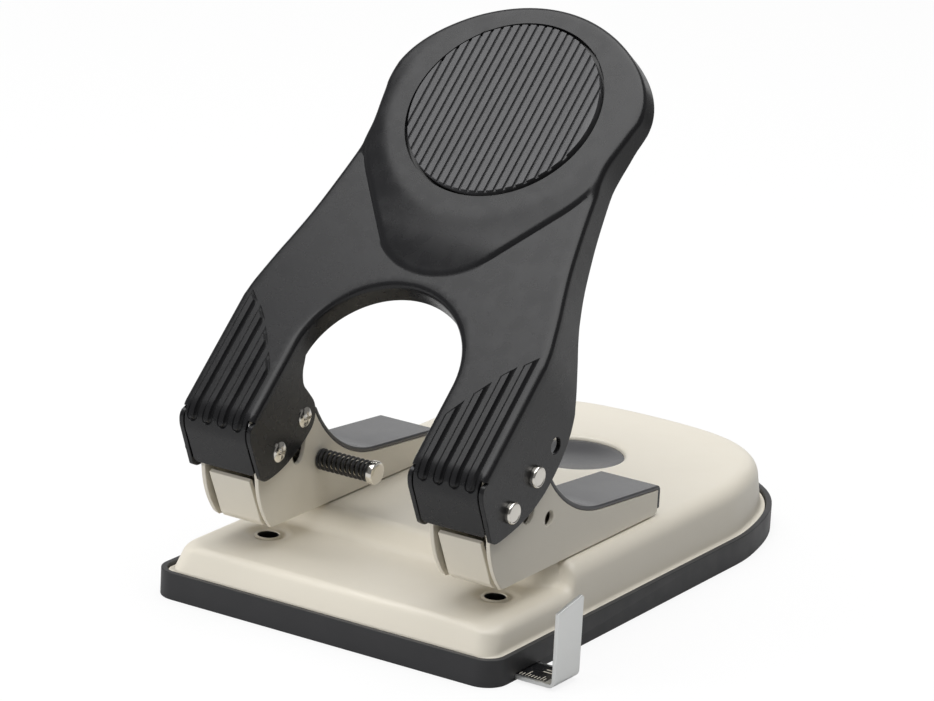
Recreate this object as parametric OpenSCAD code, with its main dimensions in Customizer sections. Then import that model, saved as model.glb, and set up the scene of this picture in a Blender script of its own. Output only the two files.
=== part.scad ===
// Two-hole paper punch with a long lever, a lock plunger and a sliding paper guide.
// X runs to the right, Y to the rear and Z up. The holes lie on Y = 0 and the tray stands on Z = 0.

/* [Holes] */
// Distance between the two punched holes
hole_pitch = 80; // [78:0.5:84]
// Diameter of a punched hole
hole_d = 6; // [5:0.1:6.5]
// Gap under the frames that the paper slides into
paper_gap = 8.1; // [6:0.1:9]
// Radial clearance of a punch or a pin in its bore
running_clearance = 0.05; // [0.02:0.01:0.1]

/* [Tray] */
// Width of the tray
tray_w = 120; // [118:1:126]
// Distance from the hole line to the front of the tray
front_reach = 30.8; // [29:0.1:34]
// Distance from the hole line to the middle of the round rear end
rear_reach = 107.5; // [104:0.5:114]
// Plan radius of the tray's front corners
tray_corner_r = 7.3; // [6:0.1:9]
// Height of the tray's rim
rim_h = 8.4; // [8:0.1:10]
// Thickness of the tray's rim
rim_t = 1.8; // [1.4:0.1:2.2]
// Thickness of the tray's floor
tray_floor_t = 1.6; // [1.2:0.1:2]

/* [Base plate] */
// Height of the front deck
front_deck_z = 14.8; // [13.5:0.1:16]
// Thickness of the pressed sheet
plate_t = 1.2; // [1:0.1:1.5]
// Width of the flange outside the raised deck
flange_w = 1.3; // [1:0.1:2]
// Distance from the hole line to the stop that the paper's edge meets
stop_y = 12; // [11:0.5:13]
// Radius of the pressed edge of the rear deck
rear_edge_r = 6; // [4:0.5:7]
// Radius of the pressed edge of the front deck
front_edge_r = 5; // [3:0.5:6]
// Plan radius of the raised deck's front corners
deck_corner_r = 10; // [8:0.5:12]
// Lean of the pressed walls, in degrees
wall_lean = 8; // [5:0.5:10]
// Lean of the front wall, in degrees
front_lean = 24; // [15:1:28]
// Radius of the round dish in the rear deck
dish_r = 15.4; // [13:0.1:17]
// Depth of the dish's floor below the rear deck
dish_depth = 1.7; // [1.5:0.1:2]

/* [Frames] */
// Width of a frame over its cheeks
frame_w = 20.6; // [19.5:0.1:22]
// Thickness of the frame's sheet
frame_t = 1.5; // [1.2:0.1:1.6]
// Distance from the hole line back to the rear of a frame
frame_rear = 72.9; // [70:0.1:76]
// Height of a frame's rear end
frame_rear_h = 8; // [7.5:0.1:9]
// Height of the lowest point of the saddle above the rear deck
saddle_h = 10.6; // [10:0.1:11.5]
// Radius of the saddle
saddle_r = 44; // [42:0.5:46]
// Radius of the curved front edge of a frame's cheeks
frame_nose_r = 28; // [26:0.5:30]
// Distance from the hole line forward to the front edge of the cheeks
frame_front = 21.3; // [21:0.1:22]
// Width of the front tongue
tongue_w = 15; // [13:0.5:16]
// Thickness of a cap
cap_t = 1.4; // [1:0.1:1.6]

/* [Lever] */
// Height of the pivot above the rear deck
pivot_h = 24.7; // [24:0.1:26]
// Distance of the pivot in front of the hole line
pivot_front = 14.85; // [14.5:0.05:15.2]
// Slope of the lever's plate at rest, in degrees
lever_slope = 43.5; // [42:0.5:45]
// Swing of the lever from rest to the lock, in degrees
lever_swing = 51.2; // [48:0.1:52]
// Angle of the line of pins below the plate, in degrees
pin_line = 11.9; // [11:0.1:13]
// Distance from the pivot to the pusher pin
pusher_r = 14.5; // [14.2:0.1:14.8]
// Distance from the pivot to the lock hole
lock_r = 26.9; // [26:0.1:28]
// Thickness of the lever's sheet
lever_t = 1.5; // [1.2:0.1:1.6]
// Gap between a frame and the lever's cheek beside it
cheek_gap = 0.7; // [0.5:0.1:1.2]
// Height of the plate's top above the pivot
lever_h = 19.2; // [19:0.1:20]
// Outer radius of the bend at the front of a leg
bend_r = 8; // [7:0.1:8.5]
// Angle that the front of a leg is bent through, in degrees
bend_angle = 71; // [70:0.5:73]
// Slit between the front of a leg and its cheeks
slit_w = 0.6; // [0.4:0.1:0.8]
// Distance along the plate from the pivot to the shoulder where the sides draw in
shoulder_v = 38; // [36:0.5:42]
// Distance along the plate from the pivot to the middle of the arch
arch_v = 25; // [24:0.5:27]
// Distance along the plate from the pivot to the middle of the head
head_v = 112; // [110:0.5:118]
// Radius of the head
head_r = 43; // [41:0.5:44]
// Height of the raised boss on the head
boss_h = 1.8; // [1.4:0.1:2.4]
// Radius of the pad in the head
pad_r = 29.9; // [28:0.1:31]
// Number of grooves in the pad
groove_count = 21; // [11:2:25]
// Number of ribs on a leg
rib_count = 4; // [2:1:4]
// Height of a rib
rib_h = 0.8; // [0.5:0.1:1]

/* [Pins and springs] */
// Diameter of the pivot and pusher pins
pin_d = 5; // [4.6:0.1:5]
// Diameter of a pin's head
pin_head_d = 6.5; // [6:0.1:7]
// Thickness of a pin's head
pin_head_t = 1.85; // [1.4:0.05:2.2]
// Diameter of the lock plunger
plunger_d = 4.4; // [4:0.1:4.6]
// Travel of the lock plunger
plunger_travel = 5; // [4:0.5:6]
// Turns of the lock spring
lock_turns = 11; // [8:1:11]
// Turns of a return spring
return_turns = 7; // [5:1:8]

/* [Paper guide] */
// Distance from the middle of the punch to the guide's outer face
guide_x = 73.3; // [72.8:0.1:76]
// Width of the guide's strip
guide_w = 13.4; // [12:0.1:14]
// Thickness of the guide's strip
guide_t = 1.2; // [1:0.1:1.2]
// Height of the guide's upright
guide_h = 25; // [20:0.5:28]

/* [Hidden] */
$fn = 96;
joined = 0.2;

// Places that follow from the driving dimensions
leg_x = hole_pitch / 2;
leg_w = frame_w + 2 * (cheek_gap + lever_t);
rear_deck_z = front_deck_z + paper_gap;
pivot = [-pivot_front, rear_deck_z + pivot_h];
rest_angle = lever_slope - pin_line;
pusher = pivot + pusher_r * [cos(rest_angle), sin(rest_angle)];
lock = pivot + lock_r * [cos(rest_angle - lever_swing), sin(rest_angle - lever_swing)];
punch_travel = pusher_r * (sin(rest_angle) - sin(rest_angle - lever_swing));
pin_hole_r = pin_d / 2 + running_clearance;
side_gap = 0.3;

// Tray and flange
ledge_t = 4;
flange_gap = 0.35;
flange_z = rim_h - 2.2;
flange_inset = rim_t + flange_gap;
foot_inset = flange_inset + flange_w;
foot_z = flange_z + plate_t;
step_r = 3;
dish_t = 2.4;
dish_flat_r = 3;

// Guide channel in the tray's floor
guide_y = -12.9;
channel_skin = 0.6;
channel_wall = 2.4;
channel_roof = 1.3;
channel_gap = 0.15;
guide_end_x = -42;
channel_end_x = -54;
guide_bend_r = 2.2;
guide_chamfer = 0.8;
guide_slant = 2.3;

// Bushes, rivets and punches
bush_bore_r = hole_d / 2 + running_clearance;
bush_flange_r = bush_bore_r + 3.4;
bush_flange_t = 1.2;
guide_bush_r = bush_bore_r + 1.75;
guide_neck_r = bush_bore_r + 0.85;
guide_neck_h = 2.4;
guide_lip = 0.6;
die_hole_r = bush_bore_r + 0.4;
die_bush_r = bush_bore_r + 2;
die_bite = 1.9;
die_drop = 3.5;
dimple_sink = 0.6;
dimple_floor_r = die_hole_r + 1.2;
dimple_r = 6.4;
rivet_y = [33, 60];
rivet_r = 2;
rivet_head_r = 3.8;
rivet_head_t = 1.3;
seat_gap = 0.05;
punch_tip_z = front_deck_z - plate_t - die_bite + punch_travel;
punch_top_z = pusher[1] - pin_d / 2 - 0.15;
punch_head_t = 2.5;
punch_head_r = hole_d / 2 + 1.5;
collar_t = 1.2;
collar_r = hole_d / 2 + 2.5;
collar_z = punch_top_z - punch_head_t - collar_t;
return_wire = 1.1;
return_mean_r = guide_neck_r + 0.3 + return_wire / 2;
return_seat_z = rear_deck_z + frame_t + bush_flange_t;
spring_end_gap = 0.1;

// Frame outline
ear_r = pin_hole_r + 5.85;
pusher_ear_r = pin_hole_r + 2.65;
slot_half = pin_d / 2 + side_gap;
saddle_c = [saddle_r, rear_deck_z + saddle_h + saddle_r];
peak_y = 5.5;
saddle_from = 180 + acos((saddle_c[0] - peak_y) / saddle_r);
nose_rise = 19.9;
nose_c = [frame_nose_r - frame_front, rear_deck_z + nose_rise];
nose_low = 180 + asin(nose_rise / frame_nose_r);
nose_top_z = pivot[1] - 7.5;
nose_high = 180 + asin((nose_c[1] - nose_top_z) / frame_nose_r);
floor_front = nose_c[0] + frame_nose_r * cos(nose_low);
tongue_top = [0.7 - frame_front, nose_top_z - 1.4];
cap_skirt = 6;

// Lever outline, in the lever's own axes: v along the plate and w square to it, from the pivot
half_w = leg_x + leg_w / 2;
arch_r = leg_x - leg_w / 2;
neck_w = head_r - 0.8;
neck_v = head_v - 9;
waist_steps = 14;
bend_v = 0.9;
bend_c = [bend_v, lever_h - bend_r];
bend_end = 90 + bend_angle;
face_dir = [cos(bend_end + 90), sin(bend_end + 90)];
face_len = 12.4;
cheek_c = [17.7, lever_h + 5.7];
cheek_r = 37.2;
cheek_tip = [-9.8, -0.7];
skirt_w = lever_h - 7.6;
inner_corner_r = 7;
inner_c = [13.4, -1.9];
arch_flange_w = lever_h - 6.5;
pin_b = pusher_r * [cos(-pin_line), sin(-pin_line)];
pin_c = lock_r * [cos(-pin_line), sin(-pin_line)];
front_half = leg_w / 2 - lever_t - slit_w;
boss_run = 1.6;
tongue_v = head_v - 30.3;
tongue_r = 24.5;
pad_v = head_v + 3.65;
pad_proud = 1.2;
pad_gap = 1.2;
groove_w = 0.8;
groove_depth = 0.9;
rib_w = 2.6;
rib_pitch = 5.2;
rib_first_v = 19.3;
rib_step_v = 6.4;
rib_drop_angle = 43;

// Pins, screws and plunger
screw_head_r = 3.1;
screw_head_t = 1.6;
screw_r = 1.4;
screw_len = 6;
recess_w = 0.8;
recess_len = 3.4;
recess_depth = 0.9;
plunger_hole_r = plunger_d / 2 + running_clearance;
plunger_head_r = plunger_d / 2 + 1.2;
plunger_head_t = 3.5;
lock_wire = 0.8;
spring_spare = 3.2;
plunger_reach = lock_turns * lock_wire + plunger_travel + spring_spare;
lock_mean_r = plunger_d / 2 + 0.25 + lock_wire / 2;
clip_t = 1;
clip_r = 4;
clip_groove_r = plunger_d / 2 - 0.4;
frame_inner_x = -leg_x + frame_w / 2;
frame_outer_x = -leg_x - frame_w / 2;
clip_x = frame_inner_x - frame_t - 0.1 - clip_t;

// Points along an arc about c
function arc(c, r, from, to, steps = 12) =
    [for (i = [0:steps]) c + r * [cos(from + (to - from) * i / steps), sin(from + (to - from) * i / steps)]];

// Half width of the lever at v: straight legs that draw in to the neck
function lever_half(v) =
    let (t = max(0, min(1, (v - shoulder_v) / (neck_v - shoulder_v))))
    half_w - (half_w - neck_w) * (1 - pow(1 - pow(t, 1.3), 2));

// Extrudes a shape drawn in Y and Z along X, from x = from to x = to
module along_x(from, to) {
    translate([from, 0, 0])
        rotate([90, 0, 90])
            linear_extrude(to - from)
                children();
}

// A rod along X
module rod_x(r, from, to, y, z) {
    translate([from, y, z])
        rotate([0, 90, 0])
            cylinder(r = r, h = to - from);
}

// Plan of the tray, drawn in by inset, with front corners of radius r
module base_plan(inset, r) {
    w = tray_w / 2 - inset;
    front = inset - front_reach;
    translate([0, rear_reach])
        circle(r = w);
    translate([-w, front + r])
        square([2 * w, rear_reach - front - r]);
    translate([r - w, front])
        square([2 * (w - r), r + joined]);
    for (side = [-1, 1])
        translate([side * (w - r), front + r])
            circle(r = r);
}

// Half of a raised deck's section, from its middle plane out to its leaning wall
module deck_half(top, edge_r, inset) {
    foot = tray_w / 2 - foot_inset;
    start = [foot - tan(wall_lean) * (top - edge_r - foot_z), top - edge_r];
    centre = [start[0] - edge_r, start[1]];
    polygon(concat(
        [[0, 0], [foot - inset + tan(wall_lean) * foot_z, 0]],
        arc(centre, edge_r - inset, 0, 90, 8),
        [[0, top - inset]]
    ));
}

// Side view of the front deck, from its leaning front wall to behind the step
module front_deck_side(inset) {
    foot = foot_inset - front_reach;
    rise = front_deck_z - front_edge_r - foot_z;
    out = front_edge_r / cos(front_lean);
    front_c = [foot + tan(front_lean) * rise + out, front_deck_z - front_edge_r];
    polygon(concat(
        [[stop_y + 2 * step_r, 0], [stop_y + 2 * step_r, front_deck_z - inset]],
        arc(front_c, front_edge_r - inset, 90, 180 - front_lean, 8),
        [[foot + inset / cos(front_lean) - tan(front_lean) * foot_z, 0]]
    ));
}

// Side view of the rear deck, from the step that stops the paper to past its rear end
module rear_deck_side(inset) {
    hollow_c = [stop_y - step_r + 0.5, front_deck_z + step_r];
    crest_c = [stop_y + step_r + 1.5, rear_deck_z - step_r];
    rear = rear_reach + tray_w;
    polygon(concat(
        [[rear, 0], [rear, rear_deck_z - inset]],
        arc(crest_c, step_r - inset, 90, 170, 6),
        arc(hollow_c, step_r + inset, 350, 270, 6),
        [[hollow_c[0], 0]]
    ));
}

// A deck of constant section that ends in a half turn at the rear
module deck_run(top, edge_r, inset) {
    translate([0, rear_reach, 0])
        rotate([90, 0, 0])
            linear_extrude(rear_reach + front_reach + joined)
                for (side = [0, 1])
                    mirror([side, 0])
                        deck_half(top, edge_r, inset);
    translate([0, rear_reach, 0])
        rotate_extrude(angle = 180)
            deck_half(top, edge_r, inset);
}

// Both decks as a solid block, drawn in by inset on every side
module deck_block(inset) {
    intersection() {
        union() {
            intersection() {
                deck_run(front_deck_z, front_edge_r, inset);
                along_x(-tray_w, tray_w)
                    front_deck_side(inset);
            }
            intersection() {
                deck_run(rear_deck_z, rear_edge_r, inset);
                along_x(-tray_w, tray_w)
                    rear_deck_side(inset);
            }
        }
        linear_extrude(2 * rear_deck_z)
            base_plan(foot_inset + inset - 1, deck_corner_r);
    }
}

module base_plate() {
    color("ivory")
        difference() {
            union() {
                translate([0, 0, flange_z])
                    linear_extrude(plate_t)
                        base_plan(flange_inset, tray_corner_r - flange_inset);
                intersection() {
                    deck_block(0);
                    translate([-tray_w, -tray_w, flange_z])
                        cube([2 * tray_w, 4 * tray_w, rear_deck_z]);
                }
            }
            deck_block(plate_t);
            translate([0, rear_reach, 0])
                cylinder(r = dish_r, h = 2 * rear_deck_z);
            for (side = [-1, 1]) {
                translate([side * leg_x, 0, 0])
                    cylinder(r = die_hole_r, h = 2 * rear_deck_z);
                translate([side * leg_x, 0, front_deck_z - dimple_sink])
                    cylinder(r1 = dimple_floor_r, r2 = dimple_r, h = dimple_sink + 0.01);
                for (y = rivet_y)
                    translate([side * leg_x, y, 0])
                        cylinder(r = rivet_r + seat_gap, h = 2 * rear_deck_z);
            }
        }
}

module chip_tray() {
    color("dimgray")
        difference() {
            union() {
                difference() {
                    linear_extrude(rim_h)
                        base_plan(0, tray_corner_r);
                    translate([0, 0, tray_floor_t])
                        linear_extrude(rim_h)
                            base_plan(ledge_t, tray_corner_r - ledge_t);
                    translate([0, 0, flange_z])
                        linear_extrude(rim_h)
                            base_plan(rim_t, tray_corner_r - rim_t);
                }
                translate([channel_end_x - channel_wall, guide_y - guide_w / 2 - channel_wall, 0])
                    cube([
                        tray_w / 2 - rim_t - channel_end_x + channel_wall,
                        guide_w + 2 * channel_wall,
                        channel_skin + guide_t + 2 * channel_gap + channel_roof
                    ]);
            }
            translate([channel_end_x, guide_y - guide_w / 2 - channel_gap, channel_skin])
                cube([tray_w, guide_w + 2 * channel_gap, guide_t + 2 * channel_gap]);
        }
}

module dish_insert() {
    top = rear_deck_z - plate_t;
    floor_z = rear_deck_z - dish_depth;
    color("dimgray")
        translate([0, rear_reach, 0])
            difference() {
                translate([0, 0, top - dish_t])
                    cylinder(r = dish_r + 2, h = dish_t);
                translate([0, 0, floor_z])
                    cylinder(r1 = dish_flat_r, r2 = dish_r - 0.6, h = top + joined - floor_z);
            }
}

// A ring of hardened steel under the front deck, with its flange against the sheet
module die_bush(side) {
    top = front_deck_z - plate_t;
    color("silver")
        translate([side * leg_x, 0, 0])
            difference() {
                union() {
                    translate([0, 0, front_deck_z - die_drop])
                        cylinder(r = die_bush_r, h = top - front_deck_z + die_drop);
                    translate([0, 0, top - bush_flange_t])
                        cylinder(r = bush_flange_r, h = bush_flange_t);
                }
                cylinder(r = bush_bore_r, h = front_deck_z);
            }
}

// Outline of a frame's cheek in Y and Z: curved front, pivot ear, pusher ear, saddle and low rear end
module cheek_outline() {
    rear_top = [frame_rear, rear_deck_z + frame_rear_h];
    polygon(concat(
        arc(nose_c, frame_nose_r, nose_low, nose_high, 10),
        arc(pivot, ear_r, 205, rest_angle + 90, 10),
        arc(pusher, pusher_ear_r, rest_angle + 90, 75, 4),
        arc(saddle_c, saddle_r, saddle_from, 266, 14),
        [rear_top, [frame_rear, rear_deck_z + 1.2], [frame_rear - 2.4, rear_deck_z]]
    ));
}

// Slot that the pusher pin sweeps through, between its two end places
module pusher_slot() {
    low = rest_angle - lever_swing;
    low_c = pivot + pusher_r * [cos(low), sin(low)];
    polygon(concat(
        arc(pivot, pusher_r + slot_half, low, rest_angle, 10),
        arc(pusher, slot_half, rest_angle + 15, rest_angle + 165, 10),
        arc(pivot, pusher_r - slot_half, rest_angle, low, 10),
        arc(low_c, slot_half, low + 195, low + 345, 10)
    ));
}

// The tongue that closes the front of a frame, folded up from its floor
module tongue_outline() {
    heel = [floor_front - 0.9, rear_deck_z + 1.8];
    root_y = floor_front + 2.4;
    lean = (tongue_top - heel) / norm(tongue_top - heel);
    inward = frame_t * [lean[1], -lean[0]];
    polygon([
        [root_y, rear_deck_z], heel + [1.6, -1.6], heel, tongue_top, tongue_top + inward,
        heel + inward + [0.3, 0.7], [root_y, rear_deck_z + frame_t]
    ]);
}

module punch_frame(side) {
    half = frame_w / 2;
    color("ivory")
        difference() {
            translate([side * leg_x, 0, 0]) {
                for (x = [-half, half - frame_t])
                    along_x(x, x + frame_t)
                        difference() {
                            cheek_outline();
                            pusher_slot();
                        }
                translate([-half, floor_front + frame_t, rear_deck_z])
                    cube([frame_w, frame_rear - 2.4 - floor_front - frame_t, frame_t]);
                along_x(-tongue_w / 2, tongue_w / 2)
                    tongue_outline();
            }
            rod_x(pin_hole_r, -tray_w, tray_w, pivot[0], pivot[1]);
            rod_x(plunger_hole_r, -tray_w, tray_w, lock[0], lock[1]);
            translate([side * leg_x, 0, 0])
                cylinder(r = guide_bush_r + seat_gap, h = 2 * rear_deck_z);
            for (y = rivet_y)
                translate([side * leg_x, y, 0])
                    cylinder(r = rivet_r + seat_gap, h = rear_deck_z + 2 * frame_t);
        }
}

// Section of a cap in Y and Z: a band over the saddle that turns down behind the frame
module cap_outline() {
    low = saddle_r - cap_t;
    from = saddle_from + 2;
    rear_top = [frame_rear, rear_deck_z + frame_rear_h];
    polygon(concat(
        arc(saddle_c, saddle_r, from, 266, 14),
        [rear_top, [frame_rear, rear_top[1] - cap_skirt], [frame_rear + cap_t, rear_top[1] - cap_skirt]],
        [rear_top + [cap_t, 0.4], rear_top + [0.4, cap_t]],
        arc(saddle_c, low, 266, from, 14)
    ));
}

module frame_cap(side) {
    color("dimgray")
        translate([side * leg_x, 0, 0])
            along_x(-frame_w / 2, frame_w / 2)
                cap_outline();
}

// A flanged guide in the frame's floor, with a neck that centres the return spring
module guide_bush(side) {
    floor_top = rear_deck_z + frame_t;
    color("silver")
        translate([side * leg_x, 0, 0])
            difference() {
                union() {
                    translate([0, 0, rear_deck_z - guide_lip])
                        cylinder(r = guide_bush_r, h = frame_t + guide_lip + joined);
                    translate([0, 0, floor_top])
                        cylinder(r = bush_flange_r, h = bush_flange_t);
                    translate([0, 0, floor_top])
                        cylinder(r = guide_neck_r, h = bush_flange_t + guide_neck_h);
                }
                cylinder(r = bush_bore_r, h = 2 * rear_deck_z);
            }
}

// The rivets that hold one frame's floor to the rear deck
module frame_rivets(side) {
    under = rear_deck_z - plate_t;
    over = rear_deck_z + frame_t;
    color("silver")
        for (y = rivet_y)
            translate([side * leg_x, y, 0]) {
                translate([0, 0, under - rivet_head_t])
                    cylinder(r = rivet_head_r, h = rivet_head_t);
                translate([0, 0, under - joined])
                    cylinder(r = rivet_r, h = over - under + 2 * joined);
                translate([0, 0, over])
                    cylinder(r1 = rivet_head_r, r2 = rivet_head_r - 0.8, h = rivet_head_t);
            }
}

// Puts a shape drawn in the lever's own axes in its place at rest
module lever_place() {
    translate([0, pivot[0], pivot[1]])
        rotate([lever_slope, 0, 0])
            children();
}

// Plan of the lever's plate, drawn in by inset
module lever_plan(inset) {
    steps = [for (i = [0:waist_steps]) shoulder_v + (neck_v - shoulder_v) * i / waist_steps];
    right = concat([-pivot_front], steps, [head_v]);
    polygon(concat(
        [for (v = right) [lever_half(v) - inset, v]],
        [for (i = [len(right) - 1:-1:0]) [inset - lever_half(right[i]), right[i]]]
    ));
    translate([0, head_v])
        circle(r = head_r - inset);
}

// The arch between the legs, widened by extra
module arch_plan(extra) {
    translate([0, arch_v])
        circle(r = arch_r + extra);
    translate([-arch_r - extra, -2 * pivot_front])
        square([2 * (arch_r + extra), arch_v + 2 * pivot_front]);
}

// Points down the outside of a leg's front, from the bend to the foot of its face
function front_points() =
    let (bend = arc(bend_c, bend_r, 90, bend_end, 10))
    concat(bend, [bend[10] + face_len * face_dir]);

// Side view of an outer wall: bent front, round cheek and the skirt up to the head
module outer_side() {
    far = head_v + head_r + 1;
    polygon(concat(
        front_points(),
        [cheek_tip],
        arc(cheek_c, cheek_r, 226.5, 318, 20),
        [[56, skirt_w - 6.5], [62, skirt_w - 4.4], [80, skirt_w - 1.2], [100, skirt_w], [far, skirt_w]],
        [[far, lever_h]]
    ));
}

// Side view of an inner wall: bent front, short cheek and the flange round the arch
module inner_side() {
    far = arch_v + arch_r + 3;
    polygon(concat(
        front_points(),
        [[-9.6, -1.5], [-2.1, -5.8], [6, -8.2]],
        arc(inner_c, inner_corner_r, 270, 360, 8),
        [[inner_c[0] + inner_corner_r, 6], [24, 10.6], [29, arch_flange_w], [far, arch_flange_w]],
        [[far, lever_h]]
    ));
}

// Band of thickness t outside the line that runs down the plate from top_v, over the bend to an angle
module bend_band(top_v, outer, t, to_angle) {
    polygon(concat(
        [[top_v, lever_h + outer]],
        arc(bend_c, bend_r + outer, 90, to_angle, 12),
        arc(bend_c, bend_r + outer - t, to_angle, 90, 12),
        [[top_v, lever_h + outer - t]]
    ));
}

// The bent front of a leg, between its cheeks
module leg_front() {
    outside = front_points();
    inward = lever_t * [-face_dir[1], face_dir[0]];
    foot = outside[11] - 0.6 * face_dir;
    polygon(concat(
        [[bend_v + 2, lever_h]],
        [for (i = [0:10]) outside[i]],
        [foot, foot + inward],
        arc(bend_c, bend_r - lever_t, bend_end, 90, 10),
        [[bend_v + 2, lever_h - lever_t]]
    ));
}

// One leg's ribs, longer towards the outside, which run over the bend
module leg_ribs(side) {
    for (i = [0:rib_count - 1]) {
        x = side * (leg_x + (i - (rib_count - 1) / 2) * rib_pitch);
        along_x(x - rib_w / 2, x + rib_w / 2)
            bend_band(rib_first_v + i * rib_step_v, rib_h, rib_h + joined, 90 + rib_drop_angle);
    }
}

// The raised boss that the head's pad sits in, running down the plate as a tongue
module head_boss() {
    translate([0, head_v, lever_h])
        cylinder(r1 = head_r, r2 = head_r - boss_run, h = boss_h);
    hull() {
        translate([0, head_v, lever_h - joined])
            cylinder(r = head_r - 0.5, h = joined, $fn = 48);
        translate([0, tongue_v, lever_h - joined])
            cylinder(r = tongue_r, h = joined, $fn = 32);
        translate([0, head_v, lever_h + boss_h - 2 * joined])
            cylinder(r = head_r - boss_run - 0.5, h = joined, $fn = 48);
    }
}

module lever() {
    color("black")
        lever_place()
            difference() {
                union() {
                    translate([0, 0, lever_h - lever_t])
                        linear_extrude(lever_t)
                            difference() {
                                lever_plan(0);
                                arch_plan(0);
                                translate([-tray_w, bend_v - tray_w])
                                    square([2 * tray_w, tray_w]);
                            }
                    intersection() {
                        translate([0, 0, -lever_h])
                            linear_extrude(2 * lever_h)
                                difference() {
                                    lever_plan(0);
                                    lever_plan(lever_t);
                                }
                        along_x(-tray_w, tray_w)
                            outer_side();
                    }
                    intersection() {
                        translate([0, 0, -lever_h])
                            linear_extrude(2 * lever_h)
                                difference() {
                                    arch_plan(lever_t);
                                    arch_plan(0);
                                }
                        along_x(-tray_w, tray_w)
                            inner_side();
                    }
                    for (side = [-1, 1]) {
                        along_x(side * leg_x - front_half, side * leg_x + front_half)
                            leg_front();
                        leg_ribs(side);
                    }
                    head_boss();
                }
                translate([0, pad_v, lever_h])
                    cylinder(r = pad_r + pad_gap, h = 2 * boss_h);
                rod_x(pin_hole_r, -tray_w, tray_w, 0, 0);
                rod_x(pin_hole_r, -tray_w, tray_w, pin_b[0], pin_b[1]);
                for (side = [-1, 1])
                    rod_x(plunger_d / 2 + side_gap, side * half_w - 3, side * half_w + 3, pin_c[0], pin_c[1]);
            }
}

module pad_insert() {
    thick = boss_h + pad_proud;
    pitch = 2 * pad_r / (groove_count + 1);
    color("dimgray")
        lever_place()
            translate([0, pad_v, lever_h])
                difference() {
                    cylinder(r = pad_r, h = thick);
                    for (i = [0:groove_count - 1])
                        translate([(i - (groove_count - 1) / 2) * pitch - groove_w / 2, -pad_r, thick - groove_depth])
                            cube([groove_w, 2 * pad_r, groove_depth + joined]);
                }
}

// A barrel pin through one leg, with its head outside and a threaded end inside
module barrel_pin(side, y, z) {
    outer = leg_w / 2;
    color("silver")
        translate([side * leg_x, 0, 0])
            mirror([side < 0 ? 1 : 0, 0, 0])
                difference() {
                    union() {
                        rod_x(pin_d / 2, -outer, outer + joined, y, z);
                        rod_x(pin_head_d / 2, outer, outer + pin_head_t, y, z);
                    }
                    rod_x(screw_r + seat_gap, -outer - joined, screw_len + 1 - outer, y, z);
                }
}

// The screw in a barrel pin's inner end
module barrel_screw(side, y, z) {
    outer = leg_w / 2;
    head = outer + screw_head_t;
    color("silver")
        translate([side * leg_x, 0, 0])
            mirror([side < 0 ? 1 : 0, 0, 0])
                difference() {
                    union() {
                        rod_x(screw_head_r, -head, -outer, y, z);
                        rod_x(screw_r, -outer - joined, screw_len - outer, y, z);
                    }
                    translate([-head, y, z])
                        for (turn = [0, 90])
                            rotate([turn, 0, 0])
                                translate([0, -recess_len / 2, -recess_w / 2])
                                    cube([recess_depth, recess_len, recess_w]);
                }
}

// A hardened punch with a flat head and a hollow cutting end
module punch(side) {
    color("silver")
        translate([side * leg_x, 0, 0])
            difference() {
                union() {
                    translate([0, 0, punch_tip_z])
                        cylinder(r = hole_d / 2, h = punch_top_z - punch_tip_z);
                    translate([0, 0, punch_top_z - punch_head_t])
                        cylinder(r = punch_head_r, h = punch_head_t);
                }
                translate([0, 0, punch_tip_z - joined])
                    cylinder(r1 = hole_d / 2 - 0.4, r2 = 0, h = 1.6);
            }
}

module spring_collar(side) {
    color("silver")
        translate([side * leg_x, 0, collar_z])
            difference() {
                cylinder(r = collar_r, h = collar_t);
                translate([0, 0, -joined])
                    cylinder(r = hole_d / 2 + seat_gap, h = 2 * collar_t);
            }
}

// Centre line of a coil that rises along Z, with flat end turns
function coil_points(mean_r, wire, length, turns, rings = 8) =
    [for (i = [0:turns * rings])
        [mean_r * cos(360 * i / rings), mean_r * sin(360 * i / rings),
            wire / 2 + (length - wire) * i / (turns * rings)]];

// One unbroken tube with six sides that follows a coil's centre line
module coil(mean_r, wire, length, turns, rings = 8) {
    line = coil_points(mean_r, wire, length, turns, rings);
    sides = 6;
    count = len(line);
    climb = atan((length - wire) / (turns * 2 * PI * mean_r));
    ring_points = [
        for (i = [0:count - 1])
            let (turn = 360 * i / rings, out = [cos(turn), sin(turn), 0])
            let (up = [sin(turn) * sin(climb), -cos(turn) * sin(climb), cos(climb)])
            for (k = [0:sides - 1])
                line[i] + wire / 2 * (cos(360 * k / sides) * out + sin(360 * k / sides) * up)
    ];
    walls = [
        for (i = [0:count - 2])
            for (k = [0:sides - 1])
                let (a = i * sides + k, b = i * sides + (k + 1) % sides)
                each [[a, a + sides, b], [b, a + sides, b + sides]]
    ];
    last = (count - 1) * sides;
    ends = [for (k = [1:sides - 2]) each [[0, k, k + 1], [last, last + k + 1, last + k]]];
    polyhedron(points = ring_points, faces = concat(walls, ends), convexity = 10);
    gap = min([for (i = [0:count - 1]) for (j = [i + rings - 2:1:min(i + rings + 2, count - 1)])
        norm(line[i] - line[j])]) - wire;
    echo(str("least gap between turns ", gap));
}

module return_spring(side) {
    color("silver")
        translate([side * leg_x, 0, return_seat_z + spring_end_gap])
            coil(return_mean_r, return_wire, collar_z - return_seat_z - 2 * spring_end_gap, return_turns);
}

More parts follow.
